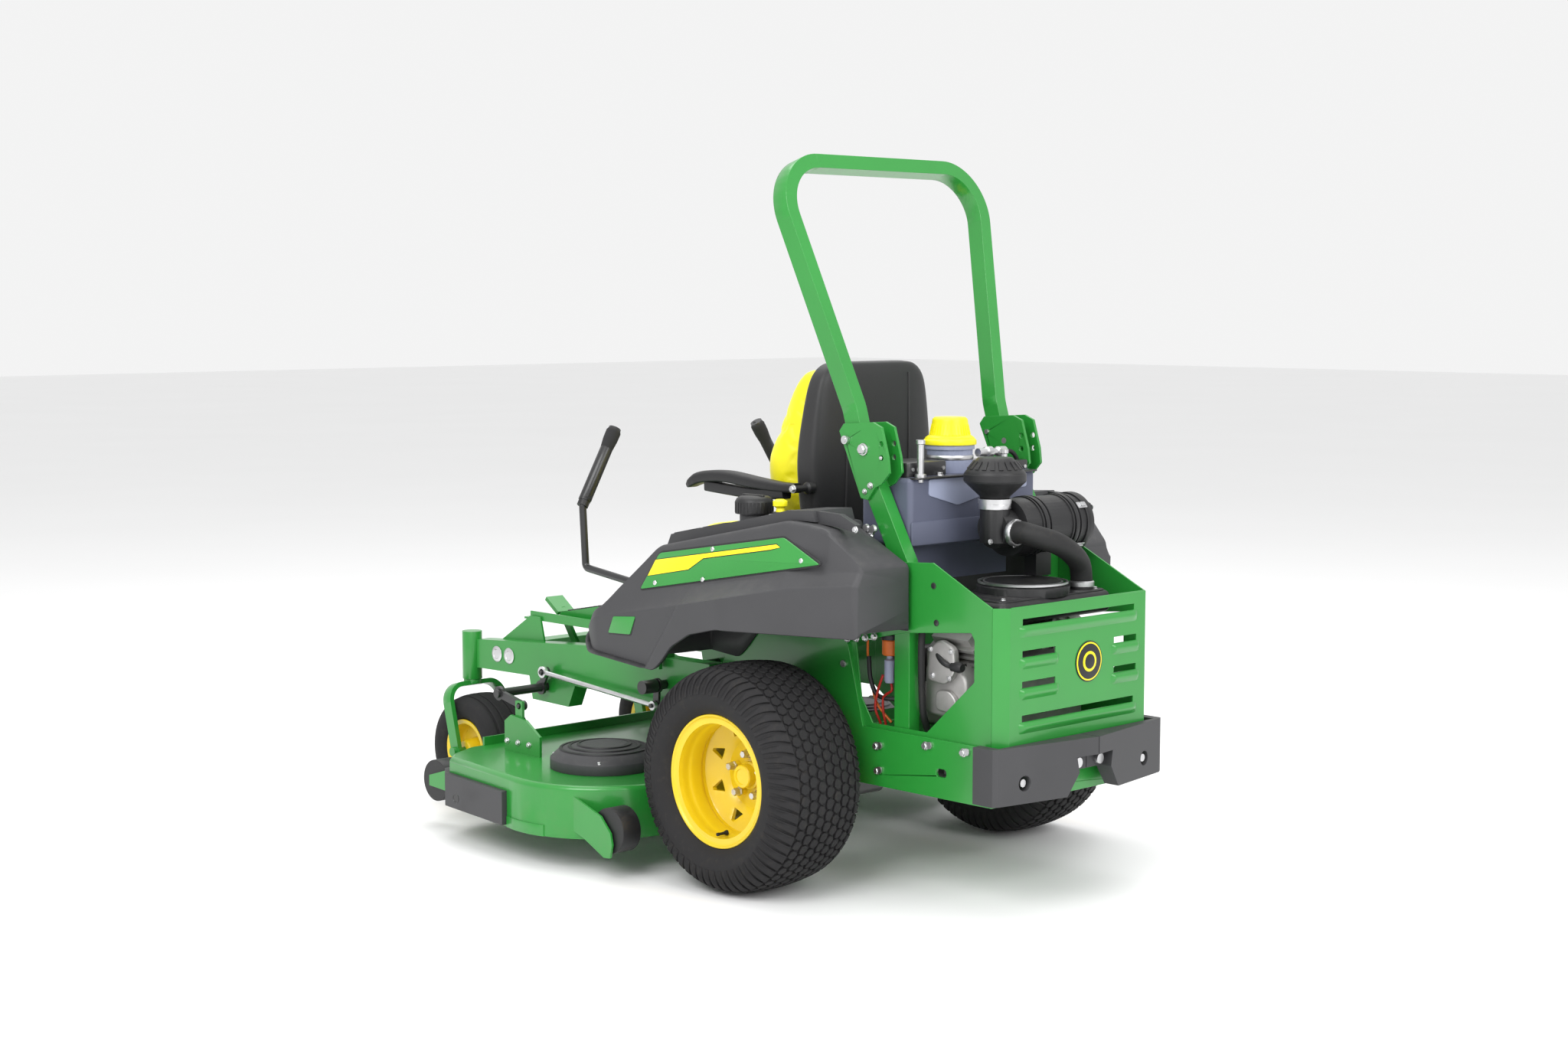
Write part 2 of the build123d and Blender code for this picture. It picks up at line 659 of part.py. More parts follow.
back_outline = [(-200, 870), (200, 870), (228, 1060), (190, 1300), (165, SEAT_TOP + 1), (-165, SEAT_TOP + 1), (-190, 1300), (-228, 1060)]
back = side_slab(back_points, -228, 228) & cross_slab(back_outline, -400, 0)
save("back_cushion", back)
armrest_points = [
    (-505, 1003),
    (-497, 1032),
    (-380, 1053),
    (-200, 1048),
    (-62, 1040),
    (-42, 1020),
    (-62, 1000),
    (-180, 1002),
    (-300, 985),
    (-490, 997),
]
armrest = side_slab(armrest_points, 250.5, 294)
armrest -= disc("x", (262, ARMREST_PIVOT[0], ARMREST_PIVOT[1]), 8 + RUN, 62)
left_and_right("armrest", armrest)

# ---------------------------------------------------------------- rollover structure
plate_in = HOOP_W / 2 + SOFT_GAP
post_points = [(ROPS_X, 330, 423), (ROPS_X, 330, 840), (ROPS_X, 205, 1065)]
post = bar(post_points, 60.0, (1, 0, 0), 2 * plate_in, HOOP_D)
bracket_points = [
    (112, 1180),
    (128, 1200),
    (232, 1207),
    (262, 1195),
    (285, 1120),
    (290, 1080),
    (262, 1050),
    (240, 1040),
    (215, 1008),
    (190, 1012),
]
for side in (-1, 1):
    near = ROPS_X + side * plate_in
    bracket = side_slab(bracket_points, min(near, near + side * HOOP_PLATE_T), max(near, near + side * HOOP_PLATE_T))
    bracket -= disc("x", (near, HOOP_PIVOT[0], HOOP_PIVOT[1]), PIVOT_R + RUN, 40)
    bracket -= disc("x", (near, HOOP_PIN[0], HOOP_PIN[1]), LOCK_PIN_R + RUN, 40)
    for z in CANOPY_Z:
        bracket -= disc("x", (near, CANOPY_Y, z), CANOPY_R, 40)
    post += bracket
save("rops_posts", both(post))


def hoop_point(x, along):
    lean = math.radians(HOOP_LEAN)
    return (x, HOOP_FOOT[0] - along * math.sin(lean), HOOP_FOOT[1] + along * math.cos(lean))


lean = math.radians(HOOP_LEAN)
top_reach = HOOP_W / 2 * math.cos(lean) + HOOP_D / 2 * math.sin(lean)
hoop_height = (HOOP_TOP - top_reach - HOOP_FOOT[1]) / math.cos(lean)
hoop_path = [
    hoop_point(ROPS_X, -60),
    hoop_point(ROPS_X, 85),
    hoop_point(HOOP_CORNER, hoop_height),
    hoop_point(-HOOP_CORNER, hoop_height),
    hoop_point(-ROPS_X, 85),
    hoop_point(-ROPS_X, -60),
]
hoop = bar(hoop_path, HOOP_BEND, (1, 0, 0), HOOP_W, HOOP_D)
for side in (-1, 1):
    pivot = (side * ROPS_X, HOOP_PIVOT[0], HOOP_PIVOT[1])
    hoop += disc("x", pivot, 32, HOOP_W)
    swept = disc("x", pivot, 200, HOOP_W + 20) - disc("x", pivot, LOCK_REACH, HOOP_W + 22)
    hoop -= swept & block(side * 200, side * 340, 0, 400, 900, HOOP_PIN[1] + 7)
    hoop -= disc("x", pivot, PIVOT_R + RUN, HOOP_W + 10)
save("rops_hoop", hoop)
pin = disc("x", (ROPS_X + 4, HOOP_PIN[0], HOOP_PIN[1]), LOCK_PIN_R, 72)
pin += disc("x", (ROPS_X + plate_in + HOOP_PLATE_T + 5.5, HOOP_PIN[0], HOOP_PIN[1]), 11, 10)
left_and_right("rops_pin", pin)

# ---------------------------------------------------------------- foot platform
floor = block(-321, 321, -1190, -604, 570, 576)
floor -= block(158, 232, -1300, -1110, 560, 580)
for side in (-1, 1):
    floor += block(side * 318 - 3, side * 318 + 3, -830, -610, 530, 570)
    floor += block(side * 318 - 3, side * 318 + 3, -1160, -610, 576, 596)
    x0, x1 = sorted((side * 60, side * 285))
    floor += side_slab([(-1075, 576), (-1061, 598), (-860, 635), (-845, 576)], x0, x1)
save("foot_platform", floor)

# ---------------------------------------------------------------- deck lift
half_turn = math.radians(LIFT_TURN / 2)
arm_y = ARM * math.cos(half_turn)
arm_z = ARM * math.sin(half_turn)
front_arm_end = (FRONT_SHAFT[0] + arm_y, FRONT_SHAFT[1] - arm_z)
rear_arm_end = (REAR_SHAFT[0] - arm_y, REAR_SHAFT[1] - arm_z)
crank_lean = math.radians(27.0)
front_pin = (FRONT_SHAFT[0] + CRANK * math.sin(crank_lean), FRONT_SHAFT[1] + CRANK * math.cos(crank_lean))
rear_lean = 2 * half_turn - crank_lean
rear_pin = (REAR_SHAFT[0] + CRANK * math.sin(rear_lean), REAR_SHAFT[1] - CRANK * math.cos(rear_lean))


def arm_plate(x0, x1, hub, end, radius):
    plate = disc("x", ((x0 + x1) / 2, hub[0], hub[1]), radius + 8, x1 - x0)
    plate += disc("x", ((x0 + x1) / 2, end[0], end[1]), 14, x1 - x0)
    return plate + beam(((x0 + x1) / 2, hub[0], hub[1]), ((x0 + x1) / 2, end[0], end[1]), x1 - x0, 22)


front_lift = disc("x", (0, FRONT_SHAFT[0], FRONT_SHAFT[1]), LIFT_SHAFT_R, 1096)
rear_lift = disc("x", (0, REAR_SHAFT[0], REAR_SHAFT[1]), LIFT_SHAFT_R, 880)
for side in (-1, 1):
    x0, x1 = sorted((side * (FRONT_ARM_X - 12), side * FRONT_ARM_X))
    front_lift += arm_plate(x0, x1, FRONT_SHAFT, front_arm_end, LIFT_SHAFT_R)
    front_lift += disc("x", (side * (FRONT_ARM_X + 1), front_arm_end[0], front_arm_end[1]), LINK_PIN_R, 24)
    x0, x1 = sorted((side * (ROD_X - 16), side * (ROD_X - 8)))
    front_lift += arm_plate(x0, x1, FRONT_SHAFT, front_pin, LIFT_SHAFT_R)
    front_lift += disc("x", (side * (ROD_X - 2), front_pin[0], front_pin[1]), LINK_PIN_R, 28)
    rear_lift += arm_plate(x0, x1, REAR_SHAFT, rear_pin, LIFT_SHAFT_R)
    rear_lift += disc("x", (side * (ROD_X - 2), rear_pin[0], rear_pin[1]), LINK_PIN_R, 28)
    rear_lift += disc("x", (side * 416, REAR_SHAFT[0], REAR_SHAFT[1]), 19, 48)
    x0, x1 = sorted((side * (REAR_ARM_X - LINK_T), side * REAR_ARM_X))
    rear_lift += arm_plate(x0, x1, REAR_SHAFT, rear_arm_end, LIFT_SHAFT_R)
    rear_lift += disc("x", (side * (REAR_ARM_X + 4), rear_arm_end[0], rear_arm_end[1]), LINK_PIN_R, 24)
save("lift_front", front_lift)
save("lift_rear", rear_lift)
lift_rod = rod((ROD_X, rear_pin[0], rear_pin[1]), (ROD_X, front_pin[0], front_pin[1]), 7.0)
lift_rod += disc("x", (ROD_X, rear_pin[0], rear_pin[1]), 13, 12)
lift_rod += disc("x", (ROD_X, front_pin[0], front_pin[1]), 17, 12)
lift_rod -= disc("x", (ROD_X, rear_pin[0], rear_pin[1]), LINK_PIN_R + RUN, 30)
lift_rod -= disc("x", (ROD_X, front_pin[0], front_pin[1]), LINK_PIN_R + 4, 30)
save("lift_rods", both(lift_rod))
pedal = beam((194, FRONT_SHAFT[0] - 8, FRONT_SHAFT[1] + 12), (194, -1172, 590), 12, 22)
pedal += ring("x", (194, FRONT_SHAFT[0], FRONT_SHAFT[1]), 24, LIFT_SHAFT_R, 30)
pedal += Pos(194, -1180, 600) * Rot(-35, 0, 0) * Box(62, 70, 12)
pedal -= disc("x", (194, FRONT_SHAFT[0], FRONT_SHAFT[1]), LIFT_SHAFT_R, 60)
save("lift_pedal", pedal)

# ---------------------------------------------------------------- control levers
hub = ring("x", (LEVER_X - 7, LEVER_PIVOT[0], LEVER_PIVOT[1]), 16, 8 + RUN, 27)
hub += block(LEVER_X - 8, LEVER_X + 8, LEVER_PIVOT[0] - 10, LEVER_PIVOT[0] + 10, LEVER_PIVOT[1] + 12, LEVER_TILT_Z + 8)
hub += disc("y", (LEVER_X, LEVER_PIVOT[0] - 20, LEVER_TILT_Z), 6, 44)
hub -= disc("x", (LEVER_X - 7, LEVER_PIVOT[0], LEVER_PIVOT[1]), 8 + RUN, 60)
left_and_right("lever_pivot", hub)
lever_foot = LEVER_PIVOT[0] - 22
lever_points = [
    (LEVER_X, lever_foot, LEVER_TILT_Z + 8),
    (LEVER_X + 10, lever_foot - 10, 736),
    (LEVER_X + 3, -790, 762),
    (LEVER_X + 3, -802, 938),
    (276, -815, 1150),
]
lever = pipe(lever_points, 10.5, 16.0)
lever += disc("y", (LEVER_X, lever_foot, LEVER_TILT_Z), 13, 16)
lever += rod((LEVER_X - 4, -803, 950), (276, -815, 1150), 18.0)
lever -= disc("y", (LEVER_X, lever_foot, LEVER_TILT_Z), 6 + RUN, 40)
left_and_right("lever", lever)


# ---------------------------------------------------------------- mower deck
def deck_outline(extra):
    front = Polyline(
        (735 + extra, -1000),
        (DECK_HALF + extra, SPINDLE_Y),
        (-DECK_HALF - extra, SPINDLE_Y),
        (-735 - extra, -1000),
        (-690 - extra, -1045 - extra),
        (-600, -1090 - extra),
        (600, -1090 - extra),
        (690 + extra, -1045 - extra),
        close=True,
    )
    shape = make_face(front)
    for x, y in ((SPINDLE_X, SPINDLE_Y), (-SPINDLE_X, SPINDLE_Y), (0, CENTRE_SPINDLE_Y)):
        shape += Pos(x, y) * Circle(LOBE_R + extra)
    return shape


def deck_prism(extra, z0, z1):
    return Pos(0, 0, z0) * extrude(deck_outline(extra), amount=z1 - z0)


deck_solid = deck_prism(0.0, SKIRT_Z, DECK_TOP_Z)
deck = fillet(deck_solid.faces().sort_by(Axis.Z)[-1].edges(), 14)
deck -= deck_prism(-DECK_T, SKIRT_Z - 5, DECK_TOP_Z - DECK_T)
band = (deck_prism(4.0, SKIRT_Z, 122) - deck_solid) & block(600, 900, -680, -520, 80, 240)
deck += both(band)
deck -= block(-900, -640, CHUTE_Y0 + 18, CHUTE_Y1 - 18, 96, 222)
spindles = ((SPINDLE_X, SPINDLE_Y), (0, CENTRE_SPINDLE_Y), (-SPINDLE_X, SPINDLE_Y))
for x, y in spindles:
    deck += disc("z", (x, y, DECK_TOP_Z + 5), 40, 10)
    deck -= disc("z", (x, y, DECK_TOP_Z), SPINDLE_SHAFT_R + RUN, 60)
save("deck_shell", deck)

for name, (x, y) in zip(("left", "centre", "right"), spindles):
    blade = disc("z", (x, y, 181), SPINDLE_SHAFT_R, 162)
    blade += disc("z", (x, y, 254), 66, 16)
    blade += disc("z", (x, y, 115), 24, 20)
    blade += block(x - BLADE_R, x + BLADE_R, y - 31, y + 31, 99, 105)
    blade &= disc("z", (x, y, 180), BLADE_R, 180)
    save(f"spindle_{name}", blade)

cover_profile = [
    (COVER_R, 0),
    (COVER_R, 28),
    (COVER_R - 25, 51),
    (60, 64),
    (0, 64),
    (0, 61),
    (59, 61),
    (COVER_R - 27, 48),
    (COVER_R - 3, 26),
    (COVER_R - 3, 0),
]
cover = dome(cover_profile, (SPINDLE_X, SPINDLE_Y, DECK_TOP_Z))
trim_band = (deck_prism(17.0, 97, 190) - deck_prism(0.0, 90, 200)) & block(684, 900, -1060, -683, 90, 200)
save("deck_trim", both(cover), trim_band)

tower = side_slab([(-979, DECK_TOP_Z), (-979, 318), (-950, 338), (-880, 330), (-817, 290), (-817, DECK_TOP_Z)], 549, 557)
tower += block(FRONT_ARM_X + SOFT_GAP, FRONT_ARM_X + 9, front_arm_end[0] - 16, front_arm_end[0] + 16, DECK_TOP_Z, front_arm_end[1] + 14)
tower -= disc("x", (545, front_arm_end[0], front_arm_end[1]), LINK_PIN_R + 3.5, 60)
tower += block(470, 557, -975, -967, DECK_TOP_Z, 290)
hanger = block(REAR_ARM_X + SOFT_GAP, REAR_ARM_X + 9, rear_arm_end[0] - 16, rear_arm_end[0] + 16, DECK_TOP_Z, rear_arm_end[1] + 14)
hanger -= disc("x", (250, rear_arm_end[0], rear_arm_end[1]), LINK_PIN_R + 3.5, 60)
hanger += block(226, 276, rear_arm_end[0] - 40, rear_arm_end[0] + 40, DECK_TOP_Z, DECK_TOP_Z + 8)
rear_bracket_points = [(-470, 215), (-330, 170), (-290, 130), (-283, 100), (-292, 64), (-318, 62), (-400, 100), (-470, 120)]
rear_bracket = side_slab(rear_bracket_points, REAR_ROLLER[0] + 34, REAR_ROLLER[0] + 40) - deck_solid
rear_bracket += disc("x", (REAR_ROLLER[0] + 4, REAR_ROLLER[1], ROLLER_Z), 6, 72)
front_x = FRONT_ROLLER[0] + 34
front_bracket_points = [(-1178, 118), (-1178, 148), (-1040, 190), (-1040, 110)]
front_bracket = side_slab(front_bracket_points, front_x, front_x + 6) - deck_solid
front_bracket += disc("x", (FRONT_ROLLER[0] + 4, FRONT_ROLLER[1], ROLLER_Z), 6, 72)
channel = block(-560, 560, -1080, -1072, DECK_TOP_Z, DECK_TOP_Z + 24)
chute_lugs = []
HINGE_X = -797.0
HINGE_Z = 240.0
for y0 in (CHUTE_Y0 + 4, CHUTE_Y1 - 14):
    chute_lugs.append(block(HINGE_X - 6, -722, y0, y0 + 10, DECK_TOP_Z, HINGE_Z + 6))
hinge_pin = disc("y", (HINGE_X, (CHUTE_Y0 + CHUTE_Y1) / 2, HINGE_Z), 5, CHUTE_Y1 - CHUTE_Y0 - 8)
chute_hinge = chute_lugs[0] + chute_lugs[1] + hinge_pin
save("deck_fittings", both(tower), both(hanger), both(rear_bracket), both(front_bracket), channel, chute_hinge)

roller = ring("x", (REAR_ROLLER[0], REAR_ROLLER[1], ROLLER_Z), ROLLER_R, 6 + RUN, 60)
left_and_right("deck_roller", roller)
front_roller = ring("x", (FRONT_ROLLER[0], FRONT_ROLLER[1], ROLLER_Z), ROLLER_R, 6 + RUN, 60)
save("front_rollers", both(front_roller))

chute_y0 = CHUTE_Y0 + 15
chute_y1 = CHUTE_Y1 - 15
chute_top = [
    (HINGE_X, HINGE_Z + 11),
    (-838, 244),
    (-CHUTE_REACH, 152),
    (-CHUTE_REACH, 118),
    (-CHUTE_REACH + 4, 118),
    (-CHUTE_REACH + 4, 150),
    (-836, 239),
    (HINGE_X, HINGE_Z + 6),
]
chute = cross_slab(chute_top, chute_y0, chute_y1)
chute_end = [(-812, 236), (-838, 240), (-CHUTE_REACH + 2, 150), (-CHUTE_REACH + 2, 118), (-840, 118), (-812, 160)]
chute += cross_slab(chute_end, chute_y0, chute_y0 + 4)
chute += cross_slab(chute_end, chute_y1 - 4, chute_y1)
chute += disc("y", (HINGE_X, (chute_y0 + chute_y1) / 2, HINGE_Z), 11, chute_y1 - chute_y0)
chute -= disc("y", (HINGE_X, (chute_y0 + chute_y1) / 2, HINGE_Z), 5 + RUN, 400)
save("discharge_chute", chute)

# ---------------------------------------------------------------- bolts, pins and clamps
steel = []
outer_face = ROPS_X + plate_in + HOOP_PLATE_T
inner_face = ROPS_X - plate_in - HOOP_PLATE_T
bolt = rod((inner_face, HOOP_PIVOT[0], HOOP_PIVOT[1]), (outer_face, HOOP_PIVOT[0], HOOP_PIVOT[1]), PIVOT_R)
bolt += disc("x", (outer_face + 5, HOOP_PIVOT[0], HOOP_PIVOT[1]), 13, 10)
steel += both(bolt)
for y, z in ((268, 383), (268, 320), (440, 407), (566, 408), (137, 580)):
    steel += both(disc("x", (PLATE_IN + PLATE_T + 3, y, z), 9, 6))
steel += both(disc("y", (42, GUARD_Y + 32, 365), 13, 12))
steel += both(disc("y", (236, GUARD_Y - 2, 338), 10, 44))
steel.append(ring("z", (61, CANISTER_Y, 994), 41, 38, 16))
steel.append(ring("y", (50, 498, 928), 32, 29, 14))
save("steel_fasteners", steel)
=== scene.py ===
import json
import math

import bmesh
import bpy
import numpy as np
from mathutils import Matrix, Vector


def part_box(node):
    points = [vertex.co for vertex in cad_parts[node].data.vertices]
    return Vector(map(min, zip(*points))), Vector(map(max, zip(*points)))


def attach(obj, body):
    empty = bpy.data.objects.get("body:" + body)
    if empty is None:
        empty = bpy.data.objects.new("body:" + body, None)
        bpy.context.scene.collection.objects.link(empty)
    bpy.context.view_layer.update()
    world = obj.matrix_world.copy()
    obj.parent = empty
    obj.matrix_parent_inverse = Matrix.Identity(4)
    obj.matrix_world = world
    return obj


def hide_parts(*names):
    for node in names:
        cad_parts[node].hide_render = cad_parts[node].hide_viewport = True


bl_info = {
    "name": "Zero Turn Mower",
    "version": (1, 0, 0),
    "blender": (4, 5, 0),
    "location": "View3D > Sidebar > Mower",
    "description": "Builds the looks of a ride-on zero turn mower around its CAD frame",
    "category": "Object",
}

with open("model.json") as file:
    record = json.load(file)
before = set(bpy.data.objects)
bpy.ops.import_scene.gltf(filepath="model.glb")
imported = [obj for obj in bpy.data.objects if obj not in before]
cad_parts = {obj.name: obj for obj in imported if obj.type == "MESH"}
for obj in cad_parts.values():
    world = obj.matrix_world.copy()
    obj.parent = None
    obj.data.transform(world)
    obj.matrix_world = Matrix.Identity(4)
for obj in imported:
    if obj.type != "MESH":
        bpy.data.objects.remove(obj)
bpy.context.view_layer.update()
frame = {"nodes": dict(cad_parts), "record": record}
MM = 0.001
WELD = 0.00002


def axle_point():
    """The point on the ground under the middle of the rear axle, from the boxes of the two rear tyres."""
    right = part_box("tyre_rear_right")[0]
    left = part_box("tyre_rear_left")[1]
    return np.array([(right.x + left.x) / 2, (right.y + left.y) / 2, 0.0])


ORIGIN = axle_point()


def node_box(node):
    """A CAD node's lowest and highest corners, in millimetres from the axle point."""
    low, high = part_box(node)
    return (np.array(low) - ORIGIN) / MM, (np.array(high) - ORIGIN) / MM


# ---------------------------------------------------------------- settings
class MOWER_PG_finishes(bpy.types.PropertyGroup):
    """Colours of the enamel, plastics and vinyl."""

    green: bpy.props.FloatVectorProperty(
        name="Green enamel", description="Frame, deck and hoop", subtype="COLOR", default=(0.018, 0.235, 0.03)
    )
    yellow: bpy.props.FloatVectorProperty(
        name="Yellow enamel", description="Wheel rims", subtype="COLOR", default=(0.76, 0.54, 0.007)
    )
    vinyl: bpy.props.FloatVectorProperty(
        name="Seat vinyl", description="Seat and back cushions", subtype="COLOR", default=(0.86, 0.78, 0.004)
    )
    grey: bpy.props.FloatVectorProperty(
        name="Grey plastic", description="Fenders, consoles and bumper", subtype="COLOR",
        default=(0.042, 0.042, 0.045)
    )
    black: bpy.props.FloatVectorProperty(
        name="Black plastic", description="Shell, air cleaner and knobs", subtype="COLOR",
        default=(0.011, 0.011, 0.012)
    )
    tank: bpy.props.FloatVectorProperty(
        name="Tank", description="Fuel tank", subtype="COLOR", default=(0.095, 0.105, 0.155)
    )


class MOWER_PG_sizes(bpy.types.PropertyGroup):
    """Sizes of the tread and of the padding."""

    lugs: bpy.props.IntProperty(
        name="Lugs", description="Blocks round a rear tyre", default=60, min=20, max=120
    )
    tread: bpy.props.FloatProperty(
        name="Tread depth", description="Height of a rear tread block", default=0.0065, unit="LENGTH"
    )
    puff: bpy.props.FloatProperty(
        name="Cushion swell", description="Furthest that the padding may swell", default=0.014, unit="LENGTH"
    )


# ---------------------------------------------------------------- finishes
class Signal:
    """One output socket of a shader node. Arithmetic on it adds Math nodes."""

    def __init__(self, finish, socket):
        self.finish = finish
        self.socket = socket

    def maths(self, operation, first, second):
        """A Math node of two values."""
        return self.finish.node("ShaderNodeMath", {"operation": operation}, {0: first, 1: second})

    def __add__(self, other):
        return self.maths("ADD", self, other)

    def __rsub__(self, other):
        return self.maths("SUBTRACT", other, self)

    def __mul__(self, other):
        return self.maths("MULTIPLY", self, other)

    __radd__ = __add__
    __rmul__ = __mul__

    def step(self, low, high):
        """0 below low, 1 above high, smooth between."""
        settings = {"interpolation_type": "SMOOTHSTEP"}
        return self.finish.node("ShaderNodeMapRange", settings,
            {"Value": self, "From Min": low, "From Max": high})


class Finish:
    """A procedural material: one Principled shader and the nodes that vary it over the surface."""

    made = {}

    def __init__(self, name, **constants):
        self.material = bpy.data.materials.new(name)
        self.material.use_nodes = True
        self.tree = self.material.node_tree
        self.shader = self.tree.nodes["Principled BSDF"]
        self.coords = self.node("ShaderNodeTexCoord", output="Object")
        self.set(**constants)
        Finish.made[name] = self.material

    def node(self, kind, settings=(), inputs=(), output=0):
        """Adds one node: its settings, then the values or links of its sockets."""
        made = self.tree.nodes.new(kind)
        for key, value in dict(settings).items():
            setattr(made, key, value)
        for key, value in dict(inputs).items():
            self.feed(made.inputs[key], value)
        return Signal(self, made.outputs[output])

    def feed(self, socket, value):
        """Links a signal to a socket, or sets the socket's value; a colour gets its alpha of 1."""
        if isinstance(value, Signal):
            self.tree.links.new(value.socket, socket)
        elif hasattr(socket.default_value, "__len__") and len(socket.default_value) == 4 and len(value) == 3:
            socket.default_value = (*value, 1.0)
        else:
            socket.default_value = value

    def set(self, **values):
        """Feeds the shader's own sockets: Base_Color is written for Base Color."""
        for key, value in values.items():
            self.feed(self.shader.inputs[key.replace("_", " ")], value)
        return self

    def noise(self, scale, detail=3.0, roughness=0.55, stretch=(1, 1, 1)):
        """Fractal noise from 0 to 1 with so many features a metre, drawn out where stretch is small."""
        where = self.coords
        if stretch != (1, 1, 1):
            where = self.node("ShaderNodeMapping", inputs={"Vector": self.coords, "Scale": stretch})
        inputs = {"Vector": where, "Scale": scale, "Detail": detail, "Roughness": roughness}
        return self.node("ShaderNodeTexNoise", inputs=inputs)

    def cells(self, scale):
        """The distance to the nearest of scattered points, so many of them a metre."""
        inputs = {"Vector": self.coords, "Scale": scale}
        return self.node("ShaderNodeTexVoronoi", inputs=inputs, output="Distance")

    def blend(self, factor, first, second):
        """Colour first where the factor is 0, second where it is 1."""
        return self.node("ShaderNodeMix", {"data_type": "RGBA"}, {"Factor": factor, 6: first, 7: second}, 2)

    def height(self):
        """Height above the ground, in metres."""
        return self.node("ShaderNodeSeparateXYZ", inputs={0: self.coords}, output=2)

    def upward(self):
        """1 where the surface faces up, -1 where it faces down."""
        facing = self.node("ShaderNodeNewGeometry", output="Normal")
        return self.node("ShaderNodeSeparateXYZ", inputs={0: facing}, output=2)

    def bump(self, height, strength, distance):
        """Tilts the shading by the slope of a height signal whose 1 stands for the distance."""
        inputs = {"Height": height, "Strength": strength, "Distance": distance}
        return self.set(Normal=self.node("ShaderNodeBump", inputs=inputs))


def shade(colour, factor):
    """The colour times the factor, at most 1."""
    return tuple(min(1.0, c * factor) for c in colour)


def enamel(name, colour, rough=0.3, dust=0.1):
    """Gloss enamel: slow drifts of tone, faint orange peel, fine scuffs and a little dust low down."""
    made = Finish(name, Coat_Weight=0.35, Coat_Roughness=0.12, Specular_IOR_Level=0.5)
    drift = made.noise(4.0, 4.0)
    scuff = made.noise(90.0, 5.0, 0.7, (1, 1, 0.25)).step(0.6, 0.78)
    tone = made.blend(drift, shade(colour, 0.86), shade(colour, 1.12))
    low = 1.0 - made.height().step(0.05, 0.45)
    grime = made.noise(16.0, 6.0, 0.65).step(0.45, 0.75) * low * dust
    tone = made.blend(grime, tone, (0.16, 0.14, 0.09))
    made.set(Base_Color=made.blend(scuff * 0.18, tone, shade(colour, 1.5)))
    made.set(Roughness=rough + scuff * 0.16 + grime * 0.35 + drift * 0.05)
    return made.bump(made.noise(420.0, 1.0), 0.05, 0.0006)


def moulded(name, colour, rough=0.5, grain=900.0, depth=0.22):
    """Moulded plastic: fine spark-eroded grain, soft wear on the tone and dust where it faces up."""
    made = Finish(name, Specular_IOR_Level=0.45)
    drift = made.noise(5.0, 4.0)
    dust = made.upward().step(0.3, 1.0) * made.noise(34.0, 5.0, 0.7).step(0.4, 0.8)
    tone = made.blend(drift, shade(colour, 0.82), shade(colour, 1.2))
    made.set(Base_Color=made.blend(dust * 0.16, tone, (0.2, 0.19, 0.17)))
    made.set(Roughness=rough + drift * 0.1 + dust * 0.12)
    return made.bump(made.cells(grain) + made.noise(grain * 0.6, 2.0), depth, 0.0004)


def rubber(name, colour, rough=0.72):
    """Rubber: blotches of bloom, brown dust on the tread and a fine matt skin."""
    made = Finish(name, Specular_IOR_Level=0.35)
    bloom = made.noise(11.0, 6.0, 0.65)
    dirt = made.noise(40.0, 6.0, 0.7).step(0.5, 0.8)
    tone = made.blend(bloom, shade(colour, 0.75), shade(colour, 1.35))
    made.set(Base_Color=made.blend(dirt * 0.14, tone, (0.1, 0.085, 0.06)))
    made.set(Roughness=rough + bloom * 0.12)
    return made.bump(made.noise(700.0, 3.0), 0.25, 0.0004)


def metal(name, colour, rough, pit=0.1):
    """Bare or plated metal: uneven brightness, fine scratches and small pits."""
    made = Finish(name, Metallic=1.0)
    cloud = made.noise(24.0, 5.0, 0.6)
    line = made.noise(260.0, 3.0, 0.6)
    made.set(Base_Color=made.blend(cloud, shade(colour, 0.75), shade(colour, 1.15)))
    made.set(Roughness=rough + line * 0.18 + cloud * 0.08)
    return made.bump(line, pit, 0.0003)


def vinyl(name, colour, rough=0.42):
    """Seat vinyl: pebbly grain in small cells, soft creases and painted shade in the hollows of the grain."""
    made = Finish(name, Specular_IOR_Level=0.5, Sheen_Weight=0.12, Sheen_Roughness=0.4)
    grain_and_shade = made.cells(430.0).step(0.0, 0.75)
    crease = made.noise(26.0, 4.0)
    drift = made.noise(6.0, 3.0)
    tone = made.blend(drift, shade(colour, 0.9), shade(colour, 1.08))
    # painted shade: the colour is darkened toward 0.7 of itself in the hollows of the grain
    made.set(Base_Color=made.blend((1.0 - grain_and_shade) * 0.2, tone, shade(colour, 0.7)))
    made.set(Roughness=rough + crease * 0.12)
    return made.bump(grain_and_shade * 0.6 + crease * 0.5, 0.3, 0.0006)


